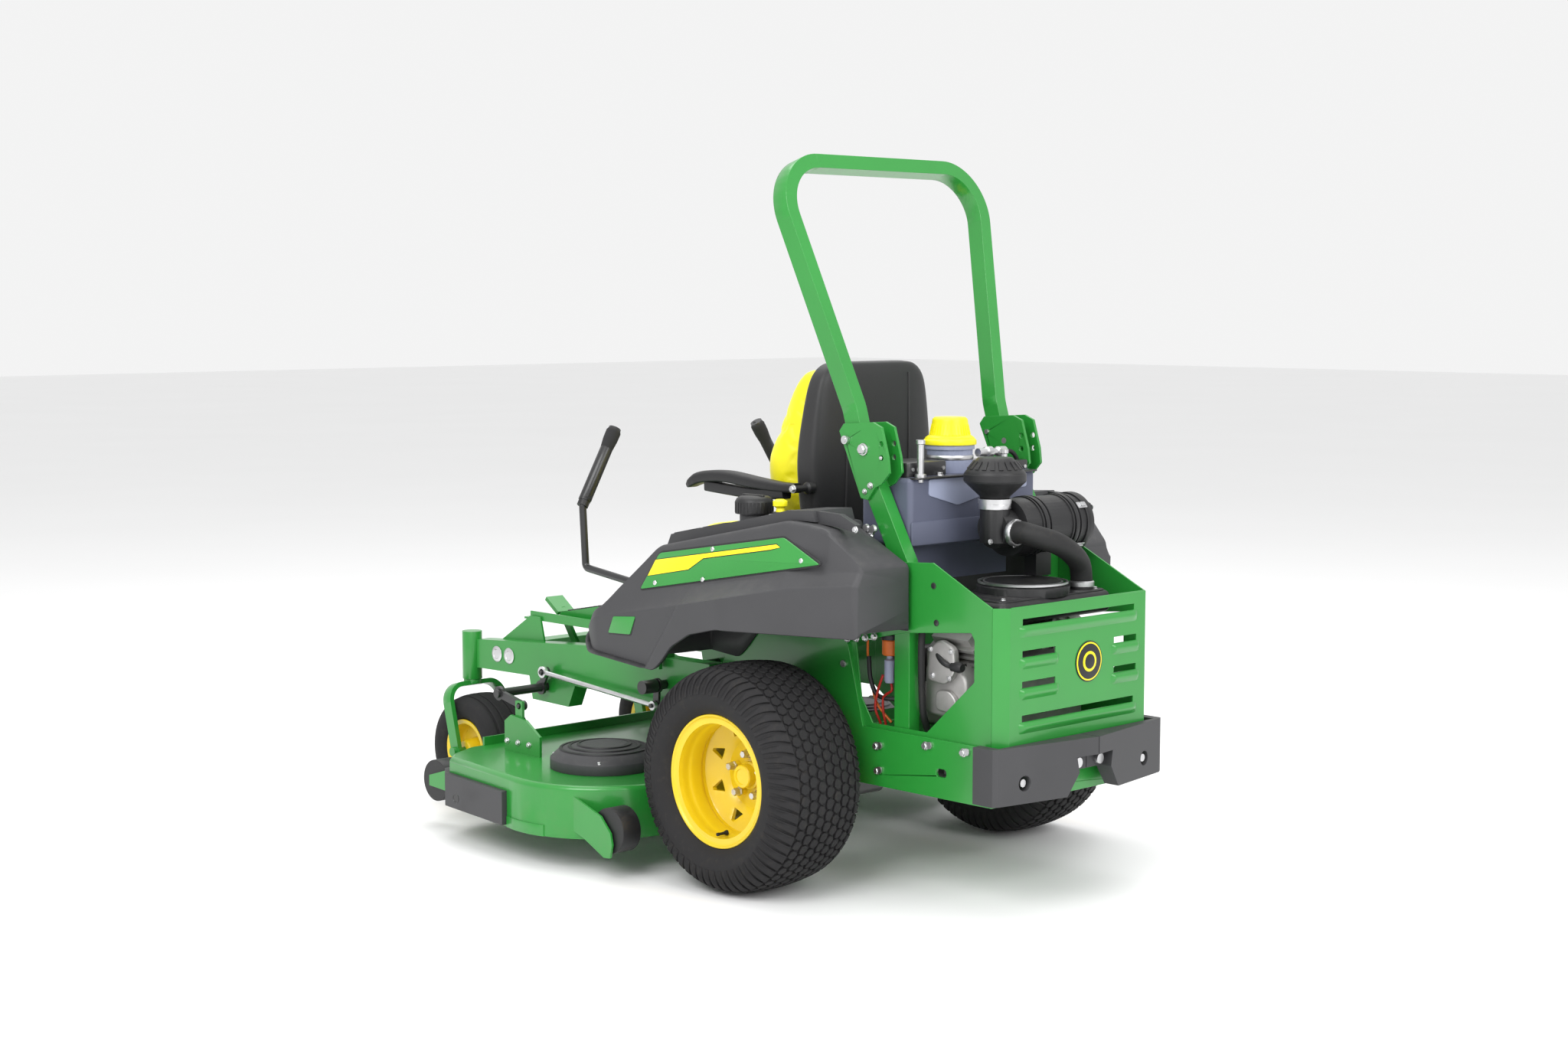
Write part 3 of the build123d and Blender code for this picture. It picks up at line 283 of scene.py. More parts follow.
def make_finishes(colours):
    """Every finish of the mower, by the record's slot name."""
    green, grey, black = tuple(colours.green), tuple(colours.grey), tuple(colours.black)
    enamel("green", green)
    enamel("yellow", tuple(colours.yellow), 0.34, 0.06)
    enamel("black_metal", (0.014, 0.014, 0.015), 0.42)
    enamel("lever_black", (0.012, 0.012, 0.013), 0.4)
    enamel("muffler", (0.03, 0.028, 0.026), 0.6)
    moulded("grey_plastic", grey)
    moulded("black_plastic", black, 0.42)
    moulded("tank", tuple(colours.tank), 0.5, 700.0, 0.1)
    moulded("neck", (0.3, 0.33, 0.45), 0.4, 700.0, 0.08)
    moulded("cap", (0.9, 0.78, 0.006), 0.36, 700.0, 0.08)
    moulded("decal_yellow", (0.9, 0.74, 0.01), 0.32, 500.0, 0.04)
    moulded("foam", (0.018, 0.018, 0.019), 0.85, 420.0, 0.6)
    moulded("red_wire", (0.42, 0.02, 0.012), 0.4, 700.0, 0.05)
    moulded("orange_wire", (0.55, 0.12, 0.01), 0.4, 700.0, 0.05)
    rubber("tyre", (0.013, 0.0125, 0.0135))
    rubber("rubber", (0.012, 0.012, 0.0125), 0.55)
    metal("steel", (0.66, 0.66, 0.67), 0.24)
    metal("cast", (0.52, 0.51, 0.5), 0.42, 0.35)
    vinyl("seat_yellow", tuple(colours.vinyl))
    vinyl("seat_black", (0.014, 0.014, 0.015), 0.46)


# ---------------------------------------------------------------- surfaces
class Skin:
    """Gathers surfaces worked out as arrays, in millimetres from the axle point, and makes one mesh."""

    def __init__(self, *finishes):
        self.finishes = finishes
        self.points = []
        self.faces = []
        self.slots = []
        self.count = 0

    def add(self, points, faces, finish=0):
        """points is n x 3, and faces a list of arrays of n x 3, n x 4, or lists of corners."""
        for group in faces:
            group = [list(face) for face in np.asarray(group) + self.count]
            self.faces.extend(group)
            self.slots.extend([finish] * len(group))
        self.points.append(np.asarray(points, float))
        self.count += len(points)
        return self

    def grid(self, points, wrap_v=False, cap_u=False, finish=0):
        """points is rows x columns x 3: each square of neighbours is a face. wrap_v joins the last column
        to the first, and cap_u closes the end rows."""
        rows, columns = points.shape[:2]
        index = np.arange(rows * columns).reshape(rows, columns)
        first, last = index[0], index[-1]
        if wrap_v:
            index = np.hstack([index, index[:, :1]])
        quads = np.stack([index[:-1, :-1], index[:-1, 1:], index[1:, 1:], index[1:, :-1]], -1).reshape(-1, 4)
        caps = [[first[::-1]], [last]] if cap_u else []
        return self.add(points.reshape(-1, 3), [quads, *caps], finish)

    def stamp(self, points, finish=0):
        """points is pieces x rings x corners x 3: walls between a piece's rings, and a lid of its last."""
        pieces, rings, corners = points.shape[:3]
        index = np.arange(pieces * rings * corners).reshape(pieces, rings, corners)
        around = np.concatenate([index, index[:, :, :1]], 2)
        walls = [around[:, :-1, :-1], around[:, :-1, 1:], around[:, 1:, 1:], around[:, 1:, :-1]]
        return self.add(points.reshape(-1, 3), [np.stack(walls, -1).reshape(-1, 4), index[:, -1]], finish)

    def join(self, other, points, finish=0):
        """Adds another skin's faces, with its points moved to new places."""
        return self.add(points, [[face] for face in other.faces], finish)

    def piece(self, name, body, slot=None, replaces=(), smooth=35.0):
        """Makes the mesh, merges its seams, turns its faces outwards and lets it ride on a body."""
        mesh = bpy.data.meshes.new(name)
        places = np.concatenate(self.points) * MM + ORIGIN
        mesh.from_pydata(places, [], self.faces)
        mesh.polygons.foreach_set("material_index", np.array(self.slots, np.int32))
        work = bmesh.new()
        work.from_mesh(mesh)
        bmesh.ops.remove_doubles(work, verts=work.verts, dist=WELD)
        bmesh.ops.recalc_face_normals(work, faces=work.faces)
        work.to_mesh(mesh)
        work.free()
        mesh.polygons.foreach_set("use_smooth", np.ones(len(mesh.polygons), bool))
        if smooth is not None:
            mesh.set_sharp_from_angle(angle=math.radians(smooth))
        for finish in self.finishes:
            mesh.materials.append(Finish.made[finish])
        made = bpy.data.objects.new(name, mesh)
        bpy.context.scene.collection.objects.link(made)
        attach(made, body)
        if replaces:
            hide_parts(*replaces)
        return made


def spline(points, count):
    """A smooth curve through the points: a Catmull-Rom cubic between each two, at count places in all."""
    points = np.asarray(points, float)
    padded = np.vstack([2 * points[0] - points[1], points, 2 * points[-1] - points[-2]])
    t = np.linspace(0, len(points) - 1, count)
    k = np.minimum(t.astype(int), len(points) - 2)
    f = (t - k)[:, None]
    a, b, c, d = padded[k], padded[k + 1], padded[k + 2], padded[k + 3]
    return 0.5 * (2 * b + (c - a) * f + (2 * a - 5 * b + 4 * c - d) * f**2 + (3 * b - a - 3 * c + d) * f**3)


def rounded(points, radius, steps=5):
    """A closed outline with each corner turned into an arc that leaves and meets its sides at radius."""
    points = np.asarray(points, float)
    before = np.roll(points, 1, 0) - points
    after = np.roll(points, -1, 0) - points
    back, ahead = np.linalg.norm(before, axis=1), np.linalg.norm(after, axis=1)
    reach = np.minimum(radius, 0.45 * np.minimum(back, ahead))
    start = points + before / back[:, None] * reach[:, None]
    end = points + after / ahead[:, None] * reach[:, None]
    t = np.linspace(0, 1, steps)[None, :, None]
    arcs = (1 - t) ** 2 * start[:, None] + 2 * t * (1 - t) * points[:, None] + t**2 * end[:, None]
    return arcs.reshape(-1, points.shape[1])


def inset(outline, distance):
    """Each point of a closed flat outline moved inwards, along the mean normal of its two sides."""
    outline = np.asarray(outline, float)
    ahead = np.roll(outline, -1, 0) - outline
    behind = outline - np.roll(outline, 1, 0)
    ahead /= np.linalg.norm(ahead, axis=1)[:, None] + 1e-9
    behind /= np.linalg.norm(behind, axis=1)[:, None] + 1e-9
    mean = ahead + behind
    mean /= np.linalg.norm(mean, axis=1)[:, None] + 1e-9
    normal = np.stack([-mean[:, 1], mean[:, 0]], 1)
    area = np.sum(outline[:, 0] * np.roll(outline[:, 1], -1) - np.roll(outline[:, 0], -1) * outline[:, 1])
    return outline + normal * distance * (1 if area > 0 else -1)


AXES = {"x": (1, 2, 0), "y": (2, 0, 1), "z": (0, 1, 2)}


def in_plane(flat, along, axis):
    """Flat points and a place along the axis as points in space: (y, z) for x, (z, x) for y, (x, y) for z."""
    first, second, third = AXES[axis]
    made = np.zeros((*np.shape(flat)[:-1], 3))
    made[..., first] = flat[..., 0]
    made[..., second] = flat[..., 1]
    made[..., third] = along
    return made


def slab(skin, outline, axis, low, high, edge=1.5, finish=0, steps=3):
    """A plate: the outline at levels from low to high, drawn in by a quarter circle at both faces."""
    t = np.linspace(0, math.pi / 2, steps)
    rise = edge * (1 - np.cos(t))
    draw = edge * (1 - np.sin(t))
    levels = np.concatenate([low + rise, (high - rise)[::-1]])
    rings = [inset(outline, amount) for amount in np.concatenate([draw, draw[::-1]])]
    return skin.grid(in_plane(np.stack(rings), levels[:, None], axis), wrap_v=True, cap_u=True, finish=finish)


def lathe(skin, profile, centre, axis, sides=48, finish=0, turn=0.0):
    """The profile's (place along the axis, radius) points carried round the axis through the centre."""
    profile = np.asarray(profile, float)
    angle = np.linspace(0, 2 * math.pi, sides, endpoint=False) + turn
    ring = np.stack([np.cos(angle), np.sin(angle)], 1)
    flat = profile[:, 1][:, None, None] * ring[None]
    rows = in_plane(flat, profile[:, 0][:, None], axis) + np.asarray(centre, float)
    return skin.grid(rows, wrap_v=True, finish=finish)


def sweep(skin, path, section, finish=0, up=(0, 0, 1), scale=1.0):
    """The section's flat points carried along the path, square to it, with its second axis nearest to up."""
    path = np.asarray(path, float)
    ahead = np.gradient(path, axis=0)
    ahead /= np.linalg.norm(ahead, axis=1)[:, None]
    side = np.cross(ahead, np.broadcast_to(np.asarray(up, float), ahead.shape))
    side /= np.linalg.norm(side, axis=1)[:, None]
    top = np.cross(side, ahead)
    size = np.broadcast_to(np.asarray(scale, float), (len(path),))[:, None, None]
    section = np.asarray(section, float)
    rows = path[:, None] + size * (section[None, :, :1] * side[:, None] + section[None, :, 1:] * top[:, None])
    return skin.grid(rows, wrap_v=True, cap_u=True, finish=finish)


def circle(radius, sides=20):
    """Flat points at the radius, at equal angles."""
    angle = np.linspace(0, 2 * math.pi, sides, endpoint=False)
    return np.stack([np.cos(angle), np.sin(angle)], 1) * radius


FLANGE = np.array([(0, 0), (0, 1.25), (0.22, 1.2), (0.3, 0.9), (0.3, 0)])
HEAD = np.array([(0.25, 0.98), (0.85, 0.98), (1, 0.8), (1, 0)])


def bolt(skin, centre, axis, size, out=1.0, finish=0):
    """A hexagon head with a chamfered top on a flange, standing out along the axis."""
    lathe(skin, size * FLANGE * (out, 1), centre, axis, 20, finish)
    return lathe(skin, size * HEAD * (out, 1), centre, axis, 6, finish)


def mirror_x(skin, other):
    """Adds another skin's surfaces, mirrored to the other side of the machine."""
    start = skin.count
    points = np.concatenate(other.points) * (-1, 1, 1)
    skin.points.append(points)
    skin.count += len(points)
    skin.faces.extend([[corner + start for corner in face[::-1]] for face in other.faces])
    skin.slots.extend(other.slots)
    return skin


# ---------------------------------------------------------------- wheels
def tyre_surface(half_profile):
    """The tyre's carcass as a function: a place along the profile from its crown and a height above it
    give the place across the tyre and the radius. The profile is mirrored, smoothed and measured along
    its length. The smoothed profile comes back too."""
    half = np.asarray(half_profile, float)
    full = spline(np.vstack([half * (-1, 1), half[::-1][1:]]), 161)
    length = np.concatenate([[0], np.cumsum(np.linalg.norm(np.diff(full, axis=0), axis=1))])
    length -= length[-1] / 2
    ahead = np.gradient(full, axis=0)
    ahead /= np.linalg.norm(ahead, axis=1)[:, None]
    out = np.stack([-ahead[:, 1], ahead[:, 0]], 1)

    def place(s, height):
        across = np.interp(s, length, full[:, 0]) + height * np.interp(s, length, out[:, 0])
        radius = np.interp(s, length, full[:, 1]) + height * np.interp(s, length, out[:, 1])
        return across, radius

    return place, full


def round_tyre(across, radius, angle, centre):
    """Places across a tyre, radii and angles as points round the wheel's centre."""
    return np.stack([across, radius * np.cos(angle), radius * np.sin(angle)], -1) + np.asarray(centre, float)


def turf_tyre(skin, half_profile, centre, lugs, depth, rows, row_gap, lug_span):
    """A turf tyre: a carcass turned from its profile, staggered scale-shaped blocks over the crown, and
    curved bars down both shoulders, each block a stack of rings on the carcass."""
    place, full = tyre_surface(half_profile)
    lathe(skin, full, centre, "x", 120)
    crown = place(0.0, 0.0)[1]
    pitch = 2 * math.pi / lugs
    turns = np.arange(lugs) * pitch
    scale = np.array([(-0.46, 0.02), (-0.3, 0.44), (0.1, 0.47), (0.42, 0.3), (0.47, -0.1), (0.2, -0.46),
        (-0.22, -0.42)])
    levels = [(-1.5, 1.02), (depth * 0.75, 0.97), (depth, 0.86)]
    for row in range(-rows, rows + 1):
        lean = -1 if row % 2 else 1
        corner = scale * (crown * pitch * 0.97, row_gap * 0.93)
        corner = corner @ np.array([[1, 0.22 * lean], [-0.35 * lean, 1]])
        s = row * row_gap + np.stack([corner[:, 1] * size for _, size in levels])
        swing = np.stack([corner[:, 0] * size for _, size in levels]) / crown
        rise = np.array([level for level, _ in levels])[:, None] * np.ones(len(corner))
        across, radius = place(s, rise)
        angle = turns[:, None, None] + (0.5 * pitch if row % 2 else 0.0) + swing[None]
        skin.stamp(round_tyre(np.broadcast_to(across, angle.shape), np.broadcast_to(radius, angle.shape),
            angle, centre))
    start, stop = lug_span
    along = np.linspace(0, 1, 7)
    for side in (-1, 1):
        edge = np.concatenate([along, along[::-1]])
        hand = np.concatenate([-np.ones(7), np.ones(7)])
        reach = start + (stop - start) * edge
        width = crown * pitch * (0.4 - 0.12 * edge)
        rings = []
        for lift, grow in ((-1.5, 1.05), (0.8, 1.0), (1.0, 0.8)):
            shift = (start + stop) / 2 + (reach - (start + stop) / 2) * (1.0 if grow > 0.9 else 0.97)
            high = lift * depth * (1 - 0.75 * edge**1.5) if lift > 0 else lift * np.ones(14)
            across, radius = place(side * shift, high)
            bend = side * 0.55 * pitch * (edge - edge**2 * 0.4) * 2.2
            rings.append((across, radius, hand * width * grow / crown + bend))
        across, radius, swing = (np.stack(values) for values in zip(*rings))
        angle = turns[:, None, None] + swing[None]
        whole = angle.shape
        skin.stamp(round_tyre(np.broadcast_to(across, whole), np.broadcast_to(radius, whole), angle, centre))
    return skin


class MOWER_OT_tyres(bpy.types.Operator):
    """Rear turf tyres with their tread, and ribbed front tyres"""

    bl_idname = "mower.tyres"
    bl_label = "Tyres"

    def execute(self, context):
        sizes = context.scene.mower_sizes
        for side in ("left", "right"):
            low, high = node_box(f"tyre_rear_{side}")
            centre, radius, half = (low + high) / 2, (high[2] - low[2]) / 2, (high[0] - low[0]) / 2
            tread = sizes.tread / MM
            profile = [
                (half - 36, 154), (half - 35, 168), (half - 22, 176), (half - 8, 192), (half - 0.5, 216),
                (half - 4, 242), (half - 18, 264), (half - 42, 278), (half - 76, radius - tread - 5),
                (half - 110, radius - tread - 1.6), (0, radius - tread - 0.3),
            ]
            skin = Skin("tyre")
            turf_tyre(skin, profile, centre, sizes.lugs, tread, 3, 27.0, (98.0, 178.0))
            skin.piece(f"turf_tyre_{side}", f"rear_wheel_{side}", "tyre", [f"tyre_rear_{side}"], 28.0)
            low, high = node_box(f"caster_tyre_{side}")
            centre, radius, half = (low + high) / 2, (high[2] - low[2]) / 2, (high[0] - low[0]) / 2
            profile = [
                (half - 22, 84), (half - 20, 93), (half - 8, 104), (half - 0.3, 122), (half - 5, 143),
                (half - 20, 156), (half - 30, 159.5), (half - 33, 156), (half - 37, 156), (half - 40, 162),
                (half - 56, 164.4), (half - 59, 160), (half - 62, 160), (half - 65, 165), (0, radius - 0.2),
            ]
            skin = Skin("tyre")
            lathe(skin, tyre_surface(profile)[1], centre, "x", 96)
            skin.piece(f"rib_tyre_{side}", f"caster_{side}", "tyre", [f"caster_tyre_{side}"], 40.0)
        return {"FINISHED"}


NUT_CIRCLE = 57.15


class MOWER_OT_rims(bpy.types.Operator):
    """Rolled rim edges, wheel nuts, hub caps and valves of the wheels"""

    bl_idname = "mower.rims"
    bl_label = "Rim details"

    def execute(self, context):
        for side, hand in (("left", 1), ("right", -1)):
            low, high = node_box(f"rim_rear_{side}")
            centre = (low + high) / 2
            outer = 116.0
            skin = Skin("yellow", "steel", "rubber")
            rolled = np.array([(outer - 6, 153), (outer - 4, 162), (outer - 1, 168), (outer + 2, 171.5),
                (outer + 5, 172), (outer + 6.5, 169.5), (outer + 5, 166.5), (outer + 2, 164),
                (outer - 2, 157), (outer - 5, 150), (outer - 14, 147.2), (outer - 30, 146.6),
                (outer - 40, 143), (outer - 52, 141.5), (outer - 70, 141.5), (outer - 80, 146.5)])
            lathe(skin, spline(rolled, 60) * (hand, 1), centre, "x", 96)
            for index in range(5):
                turn = math.radians(72 * index + 90)
                spot = centre + (hand * 6, NUT_CIRCLE * math.cos(turn), NUT_CIRCLE * math.sin(turn))
                nut = np.array([(0, 0), (0, 13), (4, 13), (7, 10.5), (20, 10.5), (23, 8.5), (23, 0)])
                lathe(skin, nut * (hand, 1), spot, "x", 6, 1, 0.3 * index)
            cap = np.array([(0, 36), (5, 36), (7, 31), (28, 30.5), (31, 28), (32, 20), (29.5, 19), (29.5, 0)])
            lathe(skin, cap * (hand, 1), centre + (hand * 1.5, 0, 0), "x", 40)
            stem = centre + (hand * (outer - 34), 0, -138)
            valve = np.array([(0, 7), (6, 6), (10, 4), (26, 3.6), (28, 4.4), (34, 4.4), (35, 0)])
            lathe(skin, valve * (hand, 1), stem, "x", 16, 2)
            skin.piece(f"rim_detail_{side}", f"rear_wheel_{side}", "yellow")
            low, high = node_box(f"caster_rim_{side}")
            centre = (low + high) / 2
            skin = Skin("yellow", "steel")
            for face in (-1, 1):
                lip = np.array([(60, 84), (63, 90), (66, 93), (68, 92), (67.5, 89), (64, 80), (52, 78),
                    (30, 76.5), (18, 70)])
                lathe(skin, spline(lip, 30) * (face, 1), centre, "x", 64)
                hub = np.array([(20, 34), (64, 30), (69, 27), (70.5, 22), (70.5, 11)])
                lathe(skin, hub * (face, 1), centre, "x", 40)
            skin.piece(f"caster_rim_detail_{side}", f"caster_{side}", "yellow")
        return {"FINISHED"}


# ---------------------------------------------------------------- fenders
FENDER_OUT = 620.0
TAPER_Y = 8.0
CREASE = ((-700, 200, 372), (633, 806, 822))
LEDGE = ((-700, 200, 372), (688, 838, 849))
FENDER_TOP = ((-596, -590, -560, -480, -420, -330, 120, 200, 272, 372),
    (634, 648, 668, 705, 770, 868, 962, 958, 948, 858))
FENDER_FOOT = ((-596, -580, -545, -262, -230, -190, -120, -20, 372),
    (606, 585, 571, 548, 574, 618, 657, 680, 682))


def lean_x(z):
    """How far out the leaning trim face stands at a height."""
    return 580 - 0.4 * (z - 745)


def ease(value, low, high):
    """0 below low, 1 above high, smooth between."""
    t = np.clip((value - low) / (high - low), 0, 1)
    return t * t * (3 - 2 * t)


def soft_line(y, line, reach=14.0):
    """A broken line's height at y, its corners eased by averaging over a short reach."""
    offsets = np.linspace(-reach, reach, 9)
    return np.mean([np.interp(y + offset, *line) for offset in offsets], axis=0)


def set_back(y, z):
    """How far the wall is set in forward of its slanting crease, which runs through (-300, 548)."""
    return 15 * (1 - ease((y + 300) * 0.794 - (z - 548) * 0.608, -14, 8))


def fender_sections():
    """Cross-sections of the fender along its length: under-lip, side wall, ledge, leaning trim face, top and
    inner wall. The outer wall runs straight, then tapers inwards to the tail. Forward of the wheel arch it is
    set in behind a slanting crease."""
    y = np.concatenate([[-596, -595, -592, -587], np.linspace(-580, 360, 180), [364, 368, 370.8, 372]])
    draw = np.concatenate([[26, 16, 8, 3], np.zeros(180), [1.2, 3.5, 7, 12]])
    top = soft_line(y, FENDER_TOP, 14)
    foot = soft_line(y, FENDER_FOOT, 10)
    crease = np.minimum(soft_line(y, CREASE, 10), top - 20)
    ledge = np.minimum(soft_line(y, LEDGE, 10), top - 8)
    taper = np.maximum(0, soft_line(y, ((-700, TAPER_Y, 372), (0, 0, 120)), 20))
    out = FENDER_OUT - 0.5 - 60 * (1 - ease(y, -640, -500)) - taper
    inner = 303.5 + 149.5 * (1 - ease(y, -384, -374))
    shoulder = np.minimum(lean_x(ledge), out - 22)
    ridge = np.minimum(lean_x(top), shoulder - 4)
    low_inner = np.where(y > 205, np.minimum(top - 9, 846 + 0.5 * (372 - y)), top - 9)
    sections = [(out - 20, foot + 4), (out - 8, foot + 1)]
    for part in np.linspace(0, 1, 30):
        z = foot + 3 + (crease - foot - 8) * part
        sections.append((out - set_back(y, z) - 5 * (1 - part) ** 2, z))
    back = set_back(y, crease)
    for part, rise in ((0.04, 0.0), (0.12, 0.06), (0.3, 0.2), (0.55, 0.48), (0.8, 0.78), (0.95, 0.96),
        (1.0, 1.03)):
        sections.append((out - back - (out - back - shoulder) * part,
            crease - 3 + (ledge + 3 - crease) * rise))
    for part in np.linspace(0.08, 0.94, 14):
        sections.append((shoulder + (ridge - shoulder) * part, ledge + 2 + (top - ledge - 2) * part))
    for part in (0.3, 0.65, 1.0):
        sections.append((ridge - 9 * part, top - 3 * (1 - part) ** 2))
    for part in (0.25, 0.5, 0.75, 0.94, 1.0):
        drop = (top - 9 - low_inner) * part**2
        sections.append((ridge - 9 + (inner + 8 - ridge + 9) * part, top - drop))
    for part in (0.6, 1.0):
        sections.append((inner + 8 * (1 - part), low_inner + 9 - 9 * part**2))
    for part in np.linspace(0.2, 1, 6):
        sections.append((inner + 0 * y, low_inner - (low_inner - foot - 6) * part))
    x = np.stack([section[0] + 0 * y for section in sections], 1)
    z = np.stack([section[1] + 0 * y for section in sections], 1)
    middle_x, middle_z = x.mean(1, keepdims=True), z.mean(1, keepdims=True)
    reach = np.hypot(x - middle_x, z - middle_z) + 1e-6
    x -= (x - middle_x) / reach * draw[:, None]
    z -= (z - middle_z) / reach * draw[:, None]
    return np.stack([x, y[:, None] + 0 * x, z], -1)


def lean_slab(skin, outline, low, high, edge=1.2, finish=0):
    """A plate on the leaning trim face: a (y, z) outline, standing out from the face by low to high."""
    flat = Skin()
    slab(flat, outline, "x", low, high, edge)
    points = np.concatenate(flat.points)
    points[:, 0] += lean_x(points[:, 2])
    return skin.join(flat, points, finish)


class MOWER_OT_fenders(bpy.types.Operator):
    """Moulded fenders with their green trim panels, stripes, screws and badges"""

    bl_idname = "mower.fenders"
    bl_label = "Fenders"

    def execute(self, context):
        shell = Skin("grey_plastic")
        shell.grid(fender_sections(), cap_u=True)
        trim = Skin("green", "decal_yellow", "black_plastic", "steel")
        panel = rounded([(-350, 754), (-315, 850), (130, 921), (180, 903), (280, 866)], 9)
        lean_slab(trim, inset(panel, -5), -3.0, 1.2, 1.2, 2)
        lean_slab(trim, panel, -1.0, 4.0, 1.6, 0)
        stripe = np.array([(-334, 790), (-321, 832), (-180, 855), (112, 903), (128, 897), (96, 889),
            (-140, 850), (-185, 818)])
        lean_slab(trim, inset(stripe, -2.2), 3.0, 4.3, 0.2, 2)
        lean_slab(trim, stripe, 3.0, 4.7, 0.3, 1)
        for y, z in ((-120, 797), (-116, 874), (214, 870), (-298, 774)):
            head = [(0, 7), (1.6, 6.6), (3.2, 4.8), (3.6, 2.5), (2.4, 2.2), (2.4, 0)]
            lathe(trim, head, (lean_x(z) + 3.6, y, z), "x", 18, 3)
        badge = rounded([(-452, 630), (-430, 676), (-340, 684), (-362, 634)], 5)
        slab(trim, inset(badge, -4), "x", 601.5, 604.4, 0.8, 2)
        slab(trim, badge, "x", 603, 606.2, 1.0, 0)
        for side, hand in (("left", 1), ("right", -1)):
            made = shell if hand > 0 else mirror_x(Skin(*shell.finishes), shell)
            cover = made.piece(f"fender_shell_{side}", "chassis", "grey_plastic", [f"fender_{side}"], 32.0)
            wall = cover.modifiers.new("wall", "SOLIDIFY")
            wall.thickness = 0.004
            wall.offset = -1
            made = trim if hand > 0 else mirror_x(Skin(*trim.finishes), trim)
            made.piece(f"fender_trim_{side}", "chassis", "green", ["side_panels"] if hand > 0 else [])
        return {"FINISHED"}


# ---------------------------------------------------------------- seat
def pillow(levels, count=72, power=3.2):
    """A closed form from (z, half width, front y, back y) levels: at each level a squared-off oval."""
    levels = np.asarray(levels, float)
    angle = np.linspace(0, 2 * math.pi, count, endpoint=False)
    wide, long = np.cos(angle), np.sin(angle)
    across = levels[:, 1:2] * (np.sign(wide) * np.abs(wide) ** (2 / power))[None]
    middle = (levels[:, 2:3] + levels[:, 3:4]) / 2
    deep = (levels[:, 3:4] - levels[:, 2:3]) / 2
    along = middle + deep * (np.sign(long) * np.abs(long) ** (2 / power))[None]
    return np.stack([across, along, levels[:, :1] + 0 * across], -1)


CLOTH_FRAMES = 20
CLOTH_PRESSURE = 4.0
CLOTH_VOXEL = 0.006


def swell(made, limit):
    """Cloth simulation of padding: remeshed and blown up, with each point kept within the limit."""
    scene = bpy.context.scene
    remesh = made.modifiers.new("remesh", "REMESH")
    remesh.mode = "VOXEL"
    remesh.voxel_size = CLOTH_VOXEL
    bpy.context.view_layer.objects.active = made
    bpy.ops.object.modifier_apply(modifier=remesh.name)
    start = np.zeros(len(made.data.vertices) * 3)
    made.data.vertices.foreach_get("co", start)
    cloth = made.modifiers.new("cloth", "CLOTH")
    cloth.settings.use_pressure = True
    cloth.settings.uniform_pressure_force = CLOTH_PRESSURE
    cloth.settings.effector_weights.gravity = 0
    cloth.settings.quality = 4
    scene.frame_start, scene.frame_end = 1, CLOTH_FRAMES
    cloth.point_cache.frame_start, cloth.point_cache.frame_end = 1, CLOTH_FRAMES
    for step in range(1, CLOTH_FRAMES + 1):
        scene.frame_set(step)
    shown = made.evaluated_get(bpy.context.evaluated_depsgraph_get())
    end = np.zeros_like(start)
    shown.data.vertices.foreach_get("co", end)
    made.modifiers.remove(cloth)
    scene.frame_set(1)
    move = (end - start).reshape(-1, 3)
    far = np.linalg.norm(move, axis=1)[:, None] + 1e-9
    move *= np.minimum(1, limit / far)
    made.data.vertices.foreach_set("co", (start.reshape(-1, 3) + move).ravel())
    made.data.polygons.foreach_set("use_smooth", np.ones(len(made.data.polygons), bool))
    made.data.update()


